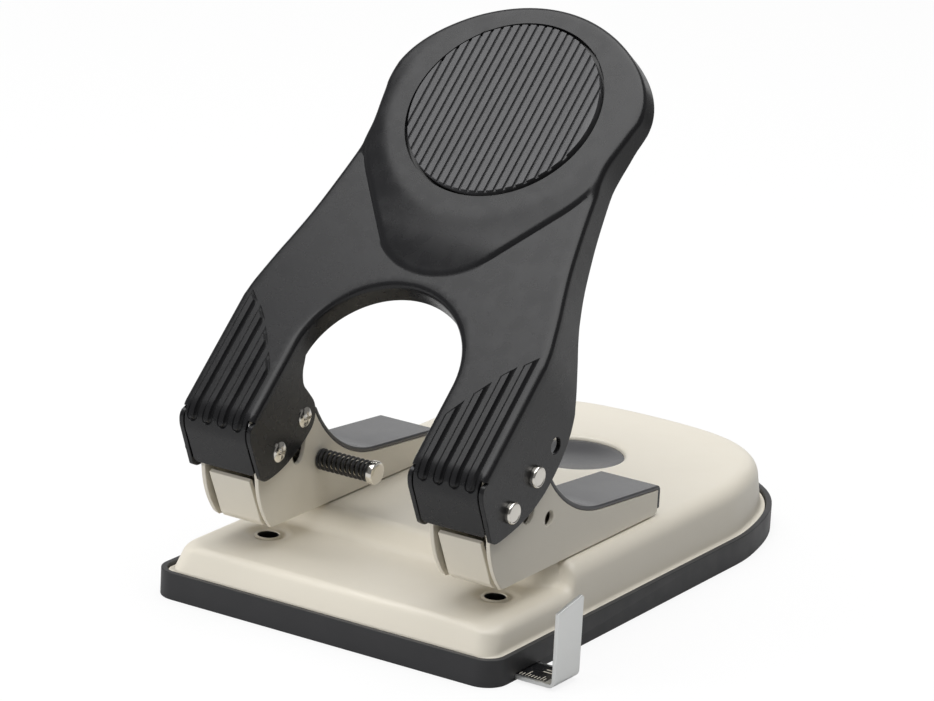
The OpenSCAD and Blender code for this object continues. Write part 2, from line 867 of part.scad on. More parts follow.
module lock_plunger() {
    head_x = frame_inner_x + plunger_reach;
    tip_x = frame_outer_x + 0.3;
    color("silver")
        difference() {
            union() {
                rod_x(plunger_head_r, head_x, head_x + plunger_head_t, lock[0], lock[1]);
                rod_x(plunger_d / 2, tip_x, head_x + joined, lock[0], lock[1]);
            }
            difference() {
                rod_x(plunger_d, clip_x, clip_x + clip_t, lock[0], lock[1]);
                rod_x(clip_groove_r, clip_x - joined, clip_x + clip_t + joined, lock[0], lock[1]);
            }
        }
}

module lock_spring() {
    color("black")
        translate([frame_inner_x + spring_end_gap, lock[0], lock[1]])
            rotate([0, 90, 0])
                coil(lock_mean_r, lock_wire, plunger_reach - 2 * spring_end_gap, lock_turns);
}

module lock_clip() {
    color("silver")
        difference() {
            rod_x(clip_r, clip_x, clip_x + clip_t, lock[0], lock[1]);
            rod_x(clip_groove_r + seat_gap, clip_x - joined, clip_x + clip_t + joined, lock[0], lock[1]);
            translate([clip_x - joined, lock[0] - clip_groove_r * 0.6, lock[1] - 2 * clip_r])
                cube([clip_t + 2 * joined, clip_groove_r * 1.2, 2 * clip_r]);
        }
}

// Section of the paper guide in X and Z: a strip with a round bend up to its upright
module guide_outline() {
    bottom = channel_skin + channel_gap;
    bend = [guide_x - guide_bend_r, bottom + guide_bend_r];
    translate([guide_end_x, bottom])
        square([bend[0] - guide_end_x, guide_t]);
    translate([guide_x - guide_t, bend[1]])
        square([guide_t, bottom + guide_h - bend[1]]);
    intersection() {
        translate(bend)
            difference() {
                circle(r = guide_bend_r);
                circle(r = guide_bend_r - guide_t);
            }
        translate([bend[0], bottom])
            square(guide_bend_r);
    }
}

module paper_guide() {
    top = channel_skin + channel_gap + guide_h;
    front = guide_y - guide_w / 2;
    rear = guide_y + guide_w / 2;
    color("lightgray")
        intersection() {
            translate([0, rear, 0])
                rotate([90, 0, 0])
                    linear_extrude(guide_w)
                        guide_outline();
            along_x(-tray_w, tray_w)
                polygon([
                    [front, 0], [rear, 0], [rear, top - guide_chamfer], [rear - guide_chamfer, top],
                    [front, top - guide_slant]
                ]);
        }
}

base_plate();
chip_tray();
dish_insert();
die_bush(-1);  // die_bush_left
die_bush(1);  // die_bush_right
punch_frame(-1);  // punch_frame_left
punch_frame(1);  // punch_frame_right
frame_cap(-1);  // frame_cap_left
frame_cap(1);  // frame_cap_right
guide_bush(-1);  // guide_bush_left
guide_bush(1);  // guide_bush_right
frame_rivets(-1);  // frame_rivets_left
frame_rivets(1);  // frame_rivets_right
lever();
pad_insert();
barrel_pin(-1, pivot[0], pivot[1]);  // pivot_pin_left
barrel_pin(1, pivot[0], pivot[1]);  // pivot_pin_right
barrel_pin(-1, pusher[0], pusher[1]);  // pusher_pin_left
barrel_pin(1, pusher[0], pusher[1]);  // pusher_pin_right
barrel_screw(-1, pivot[0], pivot[1]);  // pivot_screw_left
barrel_screw(1, pivot[0], pivot[1]);  // pivot_screw_right
barrel_screw(-1, pusher[0], pusher[1]);  // pusher_screw_left
barrel_screw(1, pusher[0], pusher[1]);  // pusher_screw_right
punch(-1);  // punch_left
punch(1);  // punch_right
spring_collar(-1);  // spring_collar_left
spring_collar(1);  // spring_collar_right
return_spring(-1);  // return_spring_left
return_spring(1);  // return_spring_right
lock_plunger();
lock_spring();
lock_clip();
paper_guide();
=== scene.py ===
import math

import bmesh
import bpy
import numpy as np
from mathutils import Matrix, Quaternion, Vector
from mathutils.geometry import delaunay_2d_cdt


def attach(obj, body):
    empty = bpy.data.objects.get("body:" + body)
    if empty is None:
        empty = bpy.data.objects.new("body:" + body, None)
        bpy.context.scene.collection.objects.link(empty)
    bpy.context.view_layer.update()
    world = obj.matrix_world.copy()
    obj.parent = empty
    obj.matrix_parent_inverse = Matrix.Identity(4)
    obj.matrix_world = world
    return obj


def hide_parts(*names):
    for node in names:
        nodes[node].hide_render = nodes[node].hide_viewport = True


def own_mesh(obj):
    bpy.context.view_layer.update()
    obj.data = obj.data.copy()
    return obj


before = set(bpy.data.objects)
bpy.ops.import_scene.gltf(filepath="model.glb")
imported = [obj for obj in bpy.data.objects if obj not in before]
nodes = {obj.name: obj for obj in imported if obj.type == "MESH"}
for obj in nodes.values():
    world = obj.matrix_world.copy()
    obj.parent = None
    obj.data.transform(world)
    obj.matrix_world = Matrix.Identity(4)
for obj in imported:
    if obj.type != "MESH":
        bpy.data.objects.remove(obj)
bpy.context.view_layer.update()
scene = bpy.context.scene

# Places shared by several pieces, in millimetres; the pins' centres are (y, z)

MM = 0.001
SIDES = {"left": -1, "right": 1}
LEG_X = 40.0
FRONT_DECK_Z = 15.6
REAR_DECK_Z = 22.9
PIVOT = (-14.85, 47.6)
PUSHER = (-2.5, 55.198)
LOCK = (10.491, 38.576)
SCREW_X = 27.5


# Materials

# A noise's usual range, the depth of the grain in metres, and how much finer roughness varies
NOISE_LOW, NOISE_HIGH = 0.3, 0.7
GRAIN_DEPTH = 0.00005
ROUGH_SCALE = 3


def link_maths(tree, operation, a, b):
    """A Math node; a and b are sockets or numbers."""
    node = tree.nodes.new("ShaderNodeMath")
    node.operation = operation
    for i, value in enumerate((a, b)):
        if isinstance(value, (int, float)):
            node.inputs[i].default_value = value
        else:
            tree.links.new(value, node.inputs[i])
    return node.outputs[0]


def noise(tree, coords, scale, detail=3.0):
    """A Noise Texture node."""
    node = tree.nodes.new("ShaderNodeTexNoise")
    node.inputs["Scale"].default_value = scale
    node.inputs["Detail"].default_value = detail
    tree.links.new(coords, node.inputs["Vector"])
    return node.outputs["Fac"]


def remap(tree, value, low, high):
    """Spreads a noise's usual range from low to high."""
    node = tree.nodes.new("ShaderNodeMapRange")
    node.inputs["From Min"].default_value = NOISE_LOW
    node.inputs["From Max"].default_value = NOISE_HIGH
    node.inputs["To Min"].default_value = low
    node.inputs["To Max"].default_value = high
    tree.links.new(value, node.inputs["Value"])
    return node.outputs["Result"]


def material(name, colour, rough, metal=0.0, spec=0.5, mottle=0.03, mottle_scale=60.0, vary=0.04,
             grain=900.0, bump=0.1):
    """A Principled material with mottled colour, uneven roughness and a fine grain."""
    mat = bpy.data.materials.new(name)
    mat.use_nodes = True
    tree = mat.node_tree
    shader = tree.nodes["Principled BSDF"]
    shader.inputs["Metallic"].default_value = metal
    shader.inputs["Specular IOR Level"].default_value = spec
    coords = tree.nodes.new("ShaderNodeTexCoord").outputs["Object"]
    mix = tree.nodes.new("ShaderNodeMix")
    mix.data_type = "RGBA"
    mix.inputs["A"].default_value = (*[c * (1 - mottle) for c in colour], 1)
    mix.inputs["B"].default_value = (*[min(1, c * (1 + mottle)) for c in colour], 1)
    tree.links.new(noise(tree, coords, mottle_scale), mix.inputs["Factor"])
    tree.links.new(mix.outputs["Result"], shader.inputs["Base Color"])
    uneven = noise(tree, coords, mottle_scale * ROUGH_SCALE)
    uneven = remap(tree, uneven, rough - vary, rough + vary)
    tree.links.new(uneven, shader.inputs["Roughness"])
    node = tree.nodes.new("ShaderNodeBump")
    node.inputs["Strength"].default_value = bump
    node.inputs["Distance"].default_value = GRAIN_DEPTH
    tree.links.new(noise(tree, coords, grain, detail=2.0), node.inputs["Height"])
    tree.links.new(node.outputs["Normal"], shader.inputs["Normal"])
    return mat


MATS = {name: material(name, colour, rough, **rest) for name, colour, rough, rest in (
    ("ivory_paint", (0.78, 0.732, 0.63), 0.34, dict(mottle=0.015, grain=700, bump=0.10)),
    ("black_paint", (0.0105, 0.0105, 0.0115), 0.27,
     dict(spec=0.42, mottle=0.06, grain=800, bump=0.10)),
    ("tray_plastic", (0.029, 0.029, 0.031), 0.46, dict(mottle=0.06, grain=2600, bump=0.25)),
    ("grey_plastic", (0.074, 0.074, 0.078), 0.26,
     dict(mottle=0.02, vary=0.012, grain=2600, bump=0.25)),
    ("pad_plastic", (0.062, 0.062, 0.065), 0.40, dict(mottle=0.06, grain=2600, bump=0.2)),
    ("nickel", (0.80, 0.77, 0.71), 0.17,
     dict(metal=1.0, mottle=0.04, mottle_scale=300, grain=1500, bump=0.04)),
    ("steel", (0.60, 0.60, 0.60), 0.30,
     dict(metal=1.0, mottle=0.06, mottle_scale=300, grain=1200, bump=0.08)),
    # Die steel made nearly black: painted shade, so the punch holes read as dark as their shade
    ("dark_steel", (0.055, 0.055, 0.055), 0.42,
     dict(metal=1.0, mottle=0.1, mottle_scale=300, grain=1200, bump=0.08)),
    ("black_spring", (0.020, 0.020, 0.021), 0.36,
     dict(mottle=0.15, mottle_scale=500, grain=1500, bump=0.08)),
    ("zinc", (0.82, 0.83, 0.82), 0.34,
     dict(metal=1.0, mottle=0.025, mottle_scale=60, vary=0.03, grain=900, bump=0.02)),
)}


# Mesh helpers, in millimetres

def smooth(t):
    """An S-curve from 0 to 1."""
    t = np.clip(t, 0, 1)
    return t * t * (3 - 2 * t)


def blend(a, b, share):
    """From a to b by a share."""
    return a + (b - a) * share


def ring(x, y, r, n):
    """n points round a circle."""
    return np.array([(x + r * math.cos(t), y + r * math.sin(t))
                     for t in np.linspace(0, 2 * math.pi, n, endpoint=False)])


def spline(points, step):
    """A smooth line through points, at about that spacing."""
    p = np.asarray(points, float)
    p = np.vstack([2 * p[0] - p[1], p, 2 * p[-1] - p[-2]])
    out = []
    for i in range(1, len(p) - 2):
        a, b, c, d = p[i - 1:i + 3]
        n = max(1, int(round(math.dist(b, c) / step)))
        for t in np.arange(n) / n:
            out.append(0.5 * (2 * b + (c - a) * t + (2 * a - 5 * b + 4 * c - d) * t ** 2
                              + (3 * b - a - 3 * c + d) * t ** 3))
    out.append(p[-2])
    return np.array(out)


def dist_to(points, line, closed=True):
    """Distance of each point to a line of points, worked out in chunks."""
    chunk = 1500
    p = np.asarray(points, float)
    a = np.asarray(line, float)
    b = np.roll(a, -1, axis=0) if closed else a[1:]
    a = a if closed else a[:-1]
    d = b - a
    size = np.maximum((d * d).sum(1), 1e-12)
    best = np.full(len(p), 1e9)
    for i in range(0, len(p), chunk):
        q = p[i:i + chunk, None, :] - a[None]
        t = np.clip((q * d).sum(2) / size, 0, 1)
        r = q - t[..., None] * d
        best[i:i + chunk] = np.sqrt((r * r).sum(2).min(1))
    return best


def inside(points, loops):
    """Which points lie inside the loops, by the even-odd rule."""
    p = np.asarray(points, float)
    hit = np.zeros(len(p), bool)
    for loop in loops:
        a = np.asarray(loop, float)
        for (x0, y0), (x1, y1) in zip(a, np.roll(a, -1, axis=0)):
            if y0 != y1:
                across = (y0 > p[:, 1]) != (y1 > p[:, 1])
                hit ^= across & (p[:, 0] < (x1 - x0) * (p[:, 1] - y0) / (y1 - y0) + x0)
    return hit


def fill(loops, rings=(), lines=(), step=2.0, clear=()):
    """Triangles over the region inside loops, with rings and lines kept as edges.

    A grid of equal triangles fills the room between them; clear holds the
    (centre, radius) of discs that get no grid.
    """
    row_share, edge_share = 0.866, 0.55
    loops = [np.asarray(x, float) for x in loops]
    edges_in = [(x, True) for x in loops + [np.asarray(x, float) for x in rings]]
    edges_in += [(np.asarray(x, float), False) for x in lines if len(x) > 1]
    low, high = loops[0].min(0), loops[0].max(0)
    rows = np.arange(low[1], high[1], step * row_share)
    grid = np.array([(x + (i % 2) * step / 2, y) for i, y in enumerate(rows)
                     for x in np.arange(low[0], high[0], step)])
    grid = grid[inside(grid, loops)]
    for line, closed in edges_in:
        grid = grid[dist_to(grid, line, closed) > edge_share * step]
    for centre, radius in clear:
        grid = grid[np.hypot(*(grid - np.asarray(centre)).T) > radius]
    points, edges = [], []
    for line, closed in edges_in:
        base, count = len(points), len(line)
        points.extend(map(tuple, line))
        edges.extend((base + i, base + (i + 1) % count)
                     for i in range(count if closed else count - 1))
    points.extend(map(tuple, grid))
    made = delaunay_2d_cdt([Vector(p) for p in points], edges, [], 0, 1e-5)
    flat = np.array([(v.x, v.y) for v in made[0]])
    tris = np.array([f for f in made[2] if len(f) == 3])
    keep = inside(flat[tris].mean(1), loops)
    return flat, [list(map(int, t)) for t in tris[keep]]


class Sheet:
    """Vertices and faces of one sheet, gathered patch by patch."""

    def __init__(self):
        self.points, self.faces = [], []

    def patch(self, points, faces):
        """Adds points and the faces between them."""
        base = len(self.points)
        self.points.extend(tuple(map(float, p)) for p in points)
        self.faces.extend([base + i for i in f] for f in faces)

    def strip(self, rows, closed=False):
        """Quads between rows of points of one length."""
        rows = [np.asarray(r, float) for r in rows]
        n = len(rows[0])
        faces = [[i * n + j, i * n + (j + 1) % n, (i + 1) * n + (j + 1) % n, (i + 1) * n + j]
                 for i in range(len(rows) - 1) for j in range(n if closed else n - 1)]
        self.patch(np.concatenate(rows), faces)

    def turn(self, profile, steps):
        """A surface turned about the z axis from a profile of (radius, height)."""
        self.strip([np.column_stack([ring(0, 0, r, steps), np.full(steps, h)])
                    for r, h in profile], closed=True)

    def aim(self, origin, axis):
        """Moves what was drawn about the z axis to that axis through the origin."""
        turn = Vector((0, 0, 1)).rotation_difference(Vector(axis)).to_matrix()
        self.points = [tuple(turn @ Vector(p) + Vector(origin)) for p in self.points]


# Metres within which points are joined, in drawn sheets and in CAD meshes, and no length at all
WELD, CAD_WELD, NO_LENGTH = 4e-6, 2e-6, 1e-7
# Degrees between faces: still one flat face, beveled from, and shaded sharp from
FLAT_WITHIN, BEVEL_FROM, SHARP = 0.4, 32.0, 35.0


def welded(sheet, up=None):
    """A bmesh in metres with coincident points joined and faces turned one way.

    Where up is given, the faces of an open sheet look that way on the whole.
    """
    bm = bmesh.new()
    verts = [bm.verts.new([c * MM for c in p]) for p in sheet.points]
    for f in sheet.faces:
        if len(set(f)) == len(f):
            bm.faces.new([verts[i] for i in f])
    bmesh.ops.remove_doubles(bm, verts=bm.verts, dist=WELD)
    bmesh.ops.dissolve_degenerate(bm, edges=bm.edges, dist=NO_LENGTH)
    loose = [v for v in bm.verts if not v.link_faces]
    bmesh.ops.delete(bm, geom=loose, context="VERTS")
    bmesh.ops.recalc_face_normals(bm, faces=bm.faces)
    if up is not None:
        total = sum((f.normal * f.calc_area() for f in bm.faces), Vector())
        if total.dot(Vector(up)) < 0:
            bmesh.ops.reverse_faces(bm, faces=bm.faces)
    return bm


def closed_up(sheet):
    """A welded sheet with its open ends filled."""
    bm = welded(sheet)
    bmesh.ops.holes_fill(bm, edges=bm.edges, sides=0)
    bmesh.ops.recalc_face_normals(bm, faces=bm.faces)
    return bm


def shell(bm, thickness, ease):
    """Gives an open sheet its thickness, and weights its rim for a bevel.

    The back is eased over that many rounds, so that it doesn't cross itself in
    tight hollows.
    """
    weight = bm.edges.layers.float.new("bevel_weight_edge")
    bm.normal_update()
    faces = list(bm.faces)
    rim = [(e.link_loops[0].vert, e.link_loops[0].link_loop_next.vert)
           for e in bm.edges if e.is_boundary]
    back = {v: bm.verts.new(v.co - v.normal * thickness * MM) for v in list(bm.verts)}
    for f in faces:
        bm.faces.new([back[v] for v in reversed(f.verts)])
    for a, b in rim:
        bm.faces.new([b, a, back[a], back[b]])
        for pair in ((a, b), (back[a], back[b])):
            bm.edges.get(pair)[weight] = 1.0
    ends = {v for pair in rim for v in pair}
    free = [b for v, b in back.items() if v not in ends]
    for _ in range(ease):
        bmesh.ops.smooth_vert(bm, verts=free, factor=0.5,
                              use_axis_x=True, use_axis_y=True, use_axis_z=True)


def piece(name, bm, mat, body, replaced=(), sharp=SHARP, bevel=0.0, segments=2, limit="WEIGHT"):
    """Makes a bmesh into an object that rides a body and stands for CAD nodes."""
    mesh = bpy.data.meshes.new(name)
    bm.to_mesh(mesh)
    bm.free()
    mesh.shade_smooth()
    mesh.set_sharp_from_angle(angle=math.radians(sharp))
    obj = bpy.data.objects.new(name, mesh)
    scene.collection.objects.link(obj)
    mesh.materials.append(MATS[mat])
    if bevel:
        mod = obj.modifiers.new("edge", "BEVEL")
        mod.width = bevel * MM
        mod.segments = segments
        mod.limit_method = limit
        mod.angle_limit = math.radians(BEVEL_FROM)
        mod.use_clamp_overlap = False
        mod.harden_normals = True
        mod.miter_outer = "MITER_ARC"
    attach(obj, body)
    if replaced:
        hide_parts(*replaced)
    return obj


def dress(node, mat, body, bevel, segments=3, reshape=None):
    """The CAD node's form with its seams joined and its edges rounded; reshape moves its points."""
    bm = bmesh.new()
    bm.from_mesh(nodes[node].data)
    bmesh.ops.remove_doubles(bm, verts=bm.verts, dist=CAD_WELD)
    bmesh.ops.dissolve_limit(bm, angle_limit=math.radians(FLAT_WITHIN), verts=bm.verts,
                             edges=bm.edges)
    if reshape:
        for v in bm.verts:
            v.co = Vector(reshape(*(v.co / MM))) * MM
    piece(node + "_form", bm, mat, body, [node], BEVEL_FROM, bevel, segments, "ANGLE")


def lathe(name, profile, origin, axis, mat, body, replaced=(), steps=48):
    """Turns a profile of (radius, along) about an axis."""
    sheet = Sheet()
    sheet.turn(profile, steps)
    sheet.aim(origin, axis)
    piece(name, closed_up(sheet), mat, body, replaced)


# Lever: one pressed sheet, in its own axes: x across, v along the plate and w square to it, from
# the pivot. s is v on the plate and runs on round the bend into the front of a leg.

SLOPE = math.radians(43.5)
SHEET_T = 1.5
PLATE_W = 19.2
HALF_W = 52.5
ROLL = 1.9
BEND_R = 8.0
BEND_C = (0.9, PLATE_W - BEND_R)
BEND_TURN = math.radians(71)
SLIT_S = -1.5
FACE_RUN, FOOT_R = 12.3, 1.6
FACE_END = BEND_C[0] - BEND_R * BEND_TURN - FACE_RUN
CHEEK_V = 38.0
LOCK_HOLE = (26.3, -5.5, 2.5)
ARCH_V, ARCH_R = 25.0, 27.1

# The head's outline, and how much its corners are cut
HEAD_V, HEAD_X, HEAD_Y = 121.0, 43.35, 32.1
HEAD_CUT = 0.032
# Flare of the head's skirt, where it starts and its run
FLARE, FLARE_V, FLARE_RUN = math.tan(math.radians(7)), 100, 13
# The pad's recess
PAD_V = 115.65
RECESS_R, RECESS_RUN = 31.1, 0.15
RECESS_RINGS = (RECESS_R + 0.3, RECESS_R, RECESS_R - RECESS_RUN, 29.0, 15.0)
RECESS_CLEAR = RECESS_R - 0.3
# The boss: its circles, the flat ring, and the flank, which rises by (from v, run, height)
BOSS_V, BOSS_R = 112.0, 43.0
CROWN_V, CROWN_R = 120.5, 43.2
TONGUE_V, TONGUE_R = 81.7, 24.5
RING_R, RING_H, FLANK_RUN = 37.2, 2.0, 2.1
FLANK_LOW, FLANK_RISES = 0.4, ((57, 14, 0.8), (96, 12, 0.3))
BOSS_DEPTHS = (-0.6, 0, 0.3, 0.7, 1.1, 1.6, 2.1, 2.7, 3.6, 5.2, 7.0, 9.0)

# The ribs of a leg, from its inner to its outer edge, with (top, slant of the top)
RIB_HALF, RIB_FLANK, RIB_H = 1.2, 0.4, 0.9
GROOVE, GROOVE_D = 0.32, 0.3
RIB_LOW, RIB_PITCH = -4.0, 5.3
RIB_TOPS = ((17.4, 1.6), (25.5, 1.4), (32.6, 1.1), (37.4, 0.95))
RIBS = [(side, LEG_X + (i - 1.5) * RIB_PITCH, top, cut)
        for side in (-1, 1) for i, (top, cut) in enumerate(RIB_TOPS)]


def lever_frame(x, v, w):
    """Points from the lever's axes to the part's frame."""
    x, v, w = np.broadcast_arrays(*[np.asarray(q, float) for q in (x, v, w)])
    c, s = math.cos(SLOPE), math.sin(SLOPE)
    return np.stack([x, PIVOT[0] + v * c - w * s, PIVOT[1] + v * s + w * c], -1)


def over_bend(x, s, h):
    """Points on the plate, or round the bend where s runs past it, raised by h."""
    x, s, h = np.broadcast_arrays(*[np.asarray(q, float) for q in (x, s, h)])
    turn = np.clip((BEND_C[0] - s) / BEND_R, 0, BEND_TURN)
    past = np.maximum(0, (BEND_C[0] - s) - BEND_R * BEND_TURN)
    nv, nw = -np.sin(turn), np.cos(turn)
    flat = s >= BEND_C[0]
    v = np.where(flat, s, BEND_C[0] + (BEND_R + h) * nv - past * np.cos(turn))
    w = np.where(flat, PLATE_W + h, BEND_C[1] + (BEND_R + h) * nw - past * np.sin(turn))
    return lever_frame(x, v, w)


def boss_depth(x, v):
    """Depth inside the boss's outline.

    A large and a small circle with their common tangents make the chin, and the
    crown's circle carries the outline out to the head's rim.
    """
    r1, r2, run = BOSS_R, TONGUE_R, BOSS_V - TONGUE_V
    b = (r1 - r2) / run
    a = math.sqrt(1 - b * b)
    px, py = np.abs(x), BOSS_V - v
    k = -b * px + a * py
    d = np.where(k < 0, np.hypot(px, py) - r1,
                 np.where(k > a * run, np.hypot(px, py - run) - r2, a * px + b * py - r1))
    return -np.minimum(d, np.hypot(x, v - CROWN_V) - CROWN_R)


def boss_line(depth):
    """The line at that depth inside the two circles and their tangents, all the way round."""
    step = 1.5
    r1, r2, run = BOSS_R - depth, TONGUE_R - depth, BOSS_V - TONGUE_V
    b = (r1 - r2) / run
    a = math.sqrt(1 - b * b)
    contact = math.atan2(-b, a)
    half = [(r1 * math.cos(t), BOSS_V + r1 * math.sin(t)) for t in
            np.linspace(math.pi / 2, contact, int(r1 * (math.pi / 2 - contact) / step))]
    end = (r2 * a, BOSS_V - run - r2 * b)
    start, count = np.array(half[-1]), int(math.dist(half[-1], end) / step)
    half += [tuple(start + (np.array(end) - start) * i / count) for i in range(1, count + 1)]
    half += [(r2 * math.cos(t), BOSS_V - run + r2 * math.sin(t)) for t in
             np.linspace(contact, -math.pi / 2, int(r2 * (contact + math.pi / 2) / step))[1:]]
    return np.array(half + [(-x, v) for x, v in half[-2:0:-1]])


def boss_height(x, v):
    """Height of the head's boss.

    A flat ring lies round the pad. From there it slopes down to a steep flank along
    the outline, which is low at the chin and higher at the head. The slope levels
    off over its last fifth.
    """
    d = boss_depth(x, v)
    edge = FLANK_LOW
    for start, run, rise in FLANK_RISES:
        edge = edge + rise * smooth((v - start) / run)
    beyond = np.maximum(np.hypot(x, v - PAD_V) - RING_R, 0)
    past = np.maximum(d - FLANK_RUN, 0)
    share = past / np.maximum(past + beyond, 1e-6)
    slope = (share - 2.5 * np.maximum(share - 0.8, 0) ** 2) / 0.9
    return edge * np.sin(np.pi / 2 * np.clip(d / FLANK_RUN, 0, 1)) + (RING_H - edge) * slope


def rib_depth(x, s):
    """Depth inside the nearest rib's outline: straight sides, a round foot and a slanting top."""
    best = np.full(np.shape(x), -1e9)
    for side, rx, top, cut in RIBS:
        across = side * x - rx
        reach = np.where(s < RIB_LOW, np.hypot(across, s - RIB_LOW), np.abs(across))
        head = (top + cut * across - s) / math.hypot(1, cut)
        best = np.maximum(best, np.minimum(RIB_HALF - reach, head))
    return best


def rib_line(side, rx, top, cut, depth):
    """The line at that depth inside a rib's outline."""
    q = RIB_HALF - depth
    drop = depth * math.hypot(1, cut)
    ends = [(rx + k * q, top + cut * k * q - drop) for k in (1, 0.4, -0.4, -1)]
    rise = np.linspace(RIB_LOW, ends[0][1], int(ends[0][1] - RIB_LOW))[:-1]
    fall = np.linspace(ends[-1][1], RIB_LOW, int(ends[-1][1] - RIB_LOW))[1:]
    foot = [(rx - q * math.cos(t), RIB_LOW - q * math.sin(t))
            for t in np.linspace(0, math.pi, 9)[1:-1]]
    loop = [(rx + q, s) for s in rise] + ends + [(rx - q, s) for s in fall] + foot
    return [(side * x, s) for x, s in loop]


def plate_height(x, s):
    """Height of the boss, the ribs and the grooves beside them; none in the pad's recess."""
    rib = rib_depth(x, s)
    h = boss_height(x, s) + RIB_H * np.clip(rib / RIB_FLANK, 0, 1)
    h = h - GROOVE_D * np.clip(1 - np.abs(rib + GROOVE) / GROOVE, 0, 1)
    r = np.hypot(x, s - PAD_V)
    return h * np.clip((r - RECESS_R + RECESS_RUN) / RECESS_RUN, 0, 1)


# Half width of the plate, as (v, x): straight legs that draw in to the neck below the head
SIDE = spline([(30, HALF_W), (36, HALF_W), (42.2, 51.95), (48.3, 50.6), (54.5, 49.1), (60.7, 47.4),
               (67, 45.8), (73.1, 44.5), (79.3, 43.4), (85.4, 42.4), (91.5, 41.5), (97.6, 40.75),
               (102, 40.55), (105.6, 40.85), (109, 41.45), (113.3, 42.2), (117.6, 42.95),
               (HEAD_V, HEAD_X)], 0.5)

# Lower edges of the outer and inner walls, as (v, w), from the toe of the cheek
OUTER_LOW = spline([(-11.3, 1.4), (-10.5, -0.7), (-8.6, -2.4), (-5, -4.7), (-1.1, -7), (3, -9),
                    (7, -10.5), (11.5, -11.6), (16, -12.2), (22, -12.2), (28.3, -11.4),
                    (33.6, -9.7), (38, -7.3), (41, -5.2), (43.8, -3.4), (46.7, -1.8), (50.7, 0.4),
                    (54.5, 2.6), (59, 4.3), (63.5, 5.3), (68.3, 6.2), (73, 6.9), (78, 7.6),
                    (83, 8.3), (88, 8.8), (94, 9.3), (99, 9.9), (104.5, 11), (109, 12.3),
                    (115, 13.4), (120, 13.5)], 0.9)
INNER_TOE = [(-10.75, 1.6), (-9.9, -0.9), (-6.8, -3.3), (-2.1, -5.7), (3.2, -7.4), (9.1, -8.6)]
INNER_C, INNER_R = (13.4, -1.9), 7
INNER_TURN = [(INNER_C[0] + INNER_R * math.cos(t), INNER_C[1] + INNER_R * math.sin(t))
              for t in np.linspace(-math.pi / 2, 0, 12)]
INNER_RISE = [(20.4, 2), (20.4, 4.6), (21.2, 6.6), (23, 8.8), (25, 10.1), (27, 11), (29.5, 11.5),
              (60, 11.6)]
INNER_LOW = np.vstack([spline(INNER_TOE + [INNER_TURN[0]], 0.9)[:-1], INNER_TURN,
                       spline([INNER_TURN[-1]] + INNER_RISE, 0.9)[1:]])
INNER_PAST = 20.9

# Places along a leg's edge: round the bend from the slit's end, and along the plate
BEND_S = [SLIT_S, -0.9, -0.3, 0.3]
STRAIGHT = (list(np.linspace(BEND_C[0], ARCH_V, 13))
            + list(np.linspace(ARCH_V, CHEEK_V, 8))[1:])
# How a cheek's edge swings out to the bend's full radius past the slit's end: (angle, radius)
SLIT_SWING = ((0.09, 6.65), (0.19, 7.3), (0.31, 7.78), (0.45, BEND_R))


def half_width(v):
    """Half the plate's width at v, past the cheek."""
    return np.interp(v, SIDE[:, 0], SIDE[:, 1])


def low_edge(line, v):
    """Height of a wall's lower edge at v, past the cheek."""
    past = line[np.argmax(line[:, 0] > INNER_PAST):] if line is INNER_LOW else line
    return np.interp(v, past[:, 0], past[:, 1])


def cheek(line, end_v, column, hole=None):
    """Triangles over a leg's flat cheek in v and w, up to the column of points at end_v.

    line is its lower edge and hole is (v, w, radius).
    """
    def on_bend(turn, r):
        return BEND_C[0] - r * math.sin(turn), BEND_C[1] + r * math.cos(turn)

    short = 0.3
    top = [(v, PLATE_W - ROLL) for v in STRAIGHT if v <= end_v + 1e-6][::-1]
    turns = [(BEND_C[0] - s) / BEND_R for s in BEND_S[::-1]]
    front = [on_bend(t, BEND_R - ROLL) for t in turns]
    front += [on_bend(turns[-1] + grow, r) for grow, r in SLIT_SWING]
    front += [on_bend(t, BEND_R)
              for t in np.linspace(turns[-1] + SLIT_SWING[-1][0], BEND_TURN, 9)[1:]]
    knee, toe = np.array(front[-1]), line[0]
    front += [tuple(knee + (toe - knee) * i / 9) for i in range(1, 9)]
    low = line[:np.argmax(line[:, 0] > end_v - short)]
    end = [(end_v, w) for w in column[::-1][:-1]]
    loops = [np.array(top + front + [tuple(p) for p in low] + end)]
    if hole:
        loops.append(ring(*hole, 28))
    return fill(loops, step=2.6)


def edge_walls(sheet, line, normals, low, rows, first):
    """Rolls the plate's edge over and draws its wall down; returns the plate's inner line.

    The roll starts at the slope that the boss has there. first is the number of
    points at either end without a wall, where a cheek stands instead.
    """
    probe, steepest = 0.05, 0.25
    line, normals = np.asarray(line, float), np.asarray(normals, float)
    inner = line + normals * ROLL
    flat = line[:, 1] >= BEND_C[0] - 1e-6
    h0 = np.where(flat, boss_height(inner[:, 0], inner[:, 1]), 0)
    near = inner + normals * probe
    rise = np.where(flat, boss_height(near[:, 0], near[:, 1]) - h0, 0) / probe
    lean = np.arctan(np.clip(rise, 0, steepest))
    rho = ROLL / (1 - np.sin(lean))
    strips = []
    for t in np.linspace(0, 1, 8):
        a = lean + (math.pi / 2 - lean) * t
        out = rho * (np.sin(a) - np.sin(lean))
        drop = rho * (np.cos(lean) - np.cos(a))
        p = inner - normals * out[:, None]
        strips.append(over_bend(p[:, 0], p[:, 1], h0 - drop))
    sheet.strip(strips)
    wall = slice(first, len(line) - first)
    top = (PLATE_W + h0 - rho * np.cos(lean))[wall]
    foot = low(line[wall, 1])
    flare = FLARE * smooth((line[wall, 1] - FLARE_V) / FLARE_RUN)
    out = -normals[wall] * ((top - foot) * flare)[:, None]
    sheet.strip([lever_frame(*(line[wall] + out * (k / rows)).T, top + (foot - top) * k / rows)
                 for k in range(rows + 1)])
    return inner


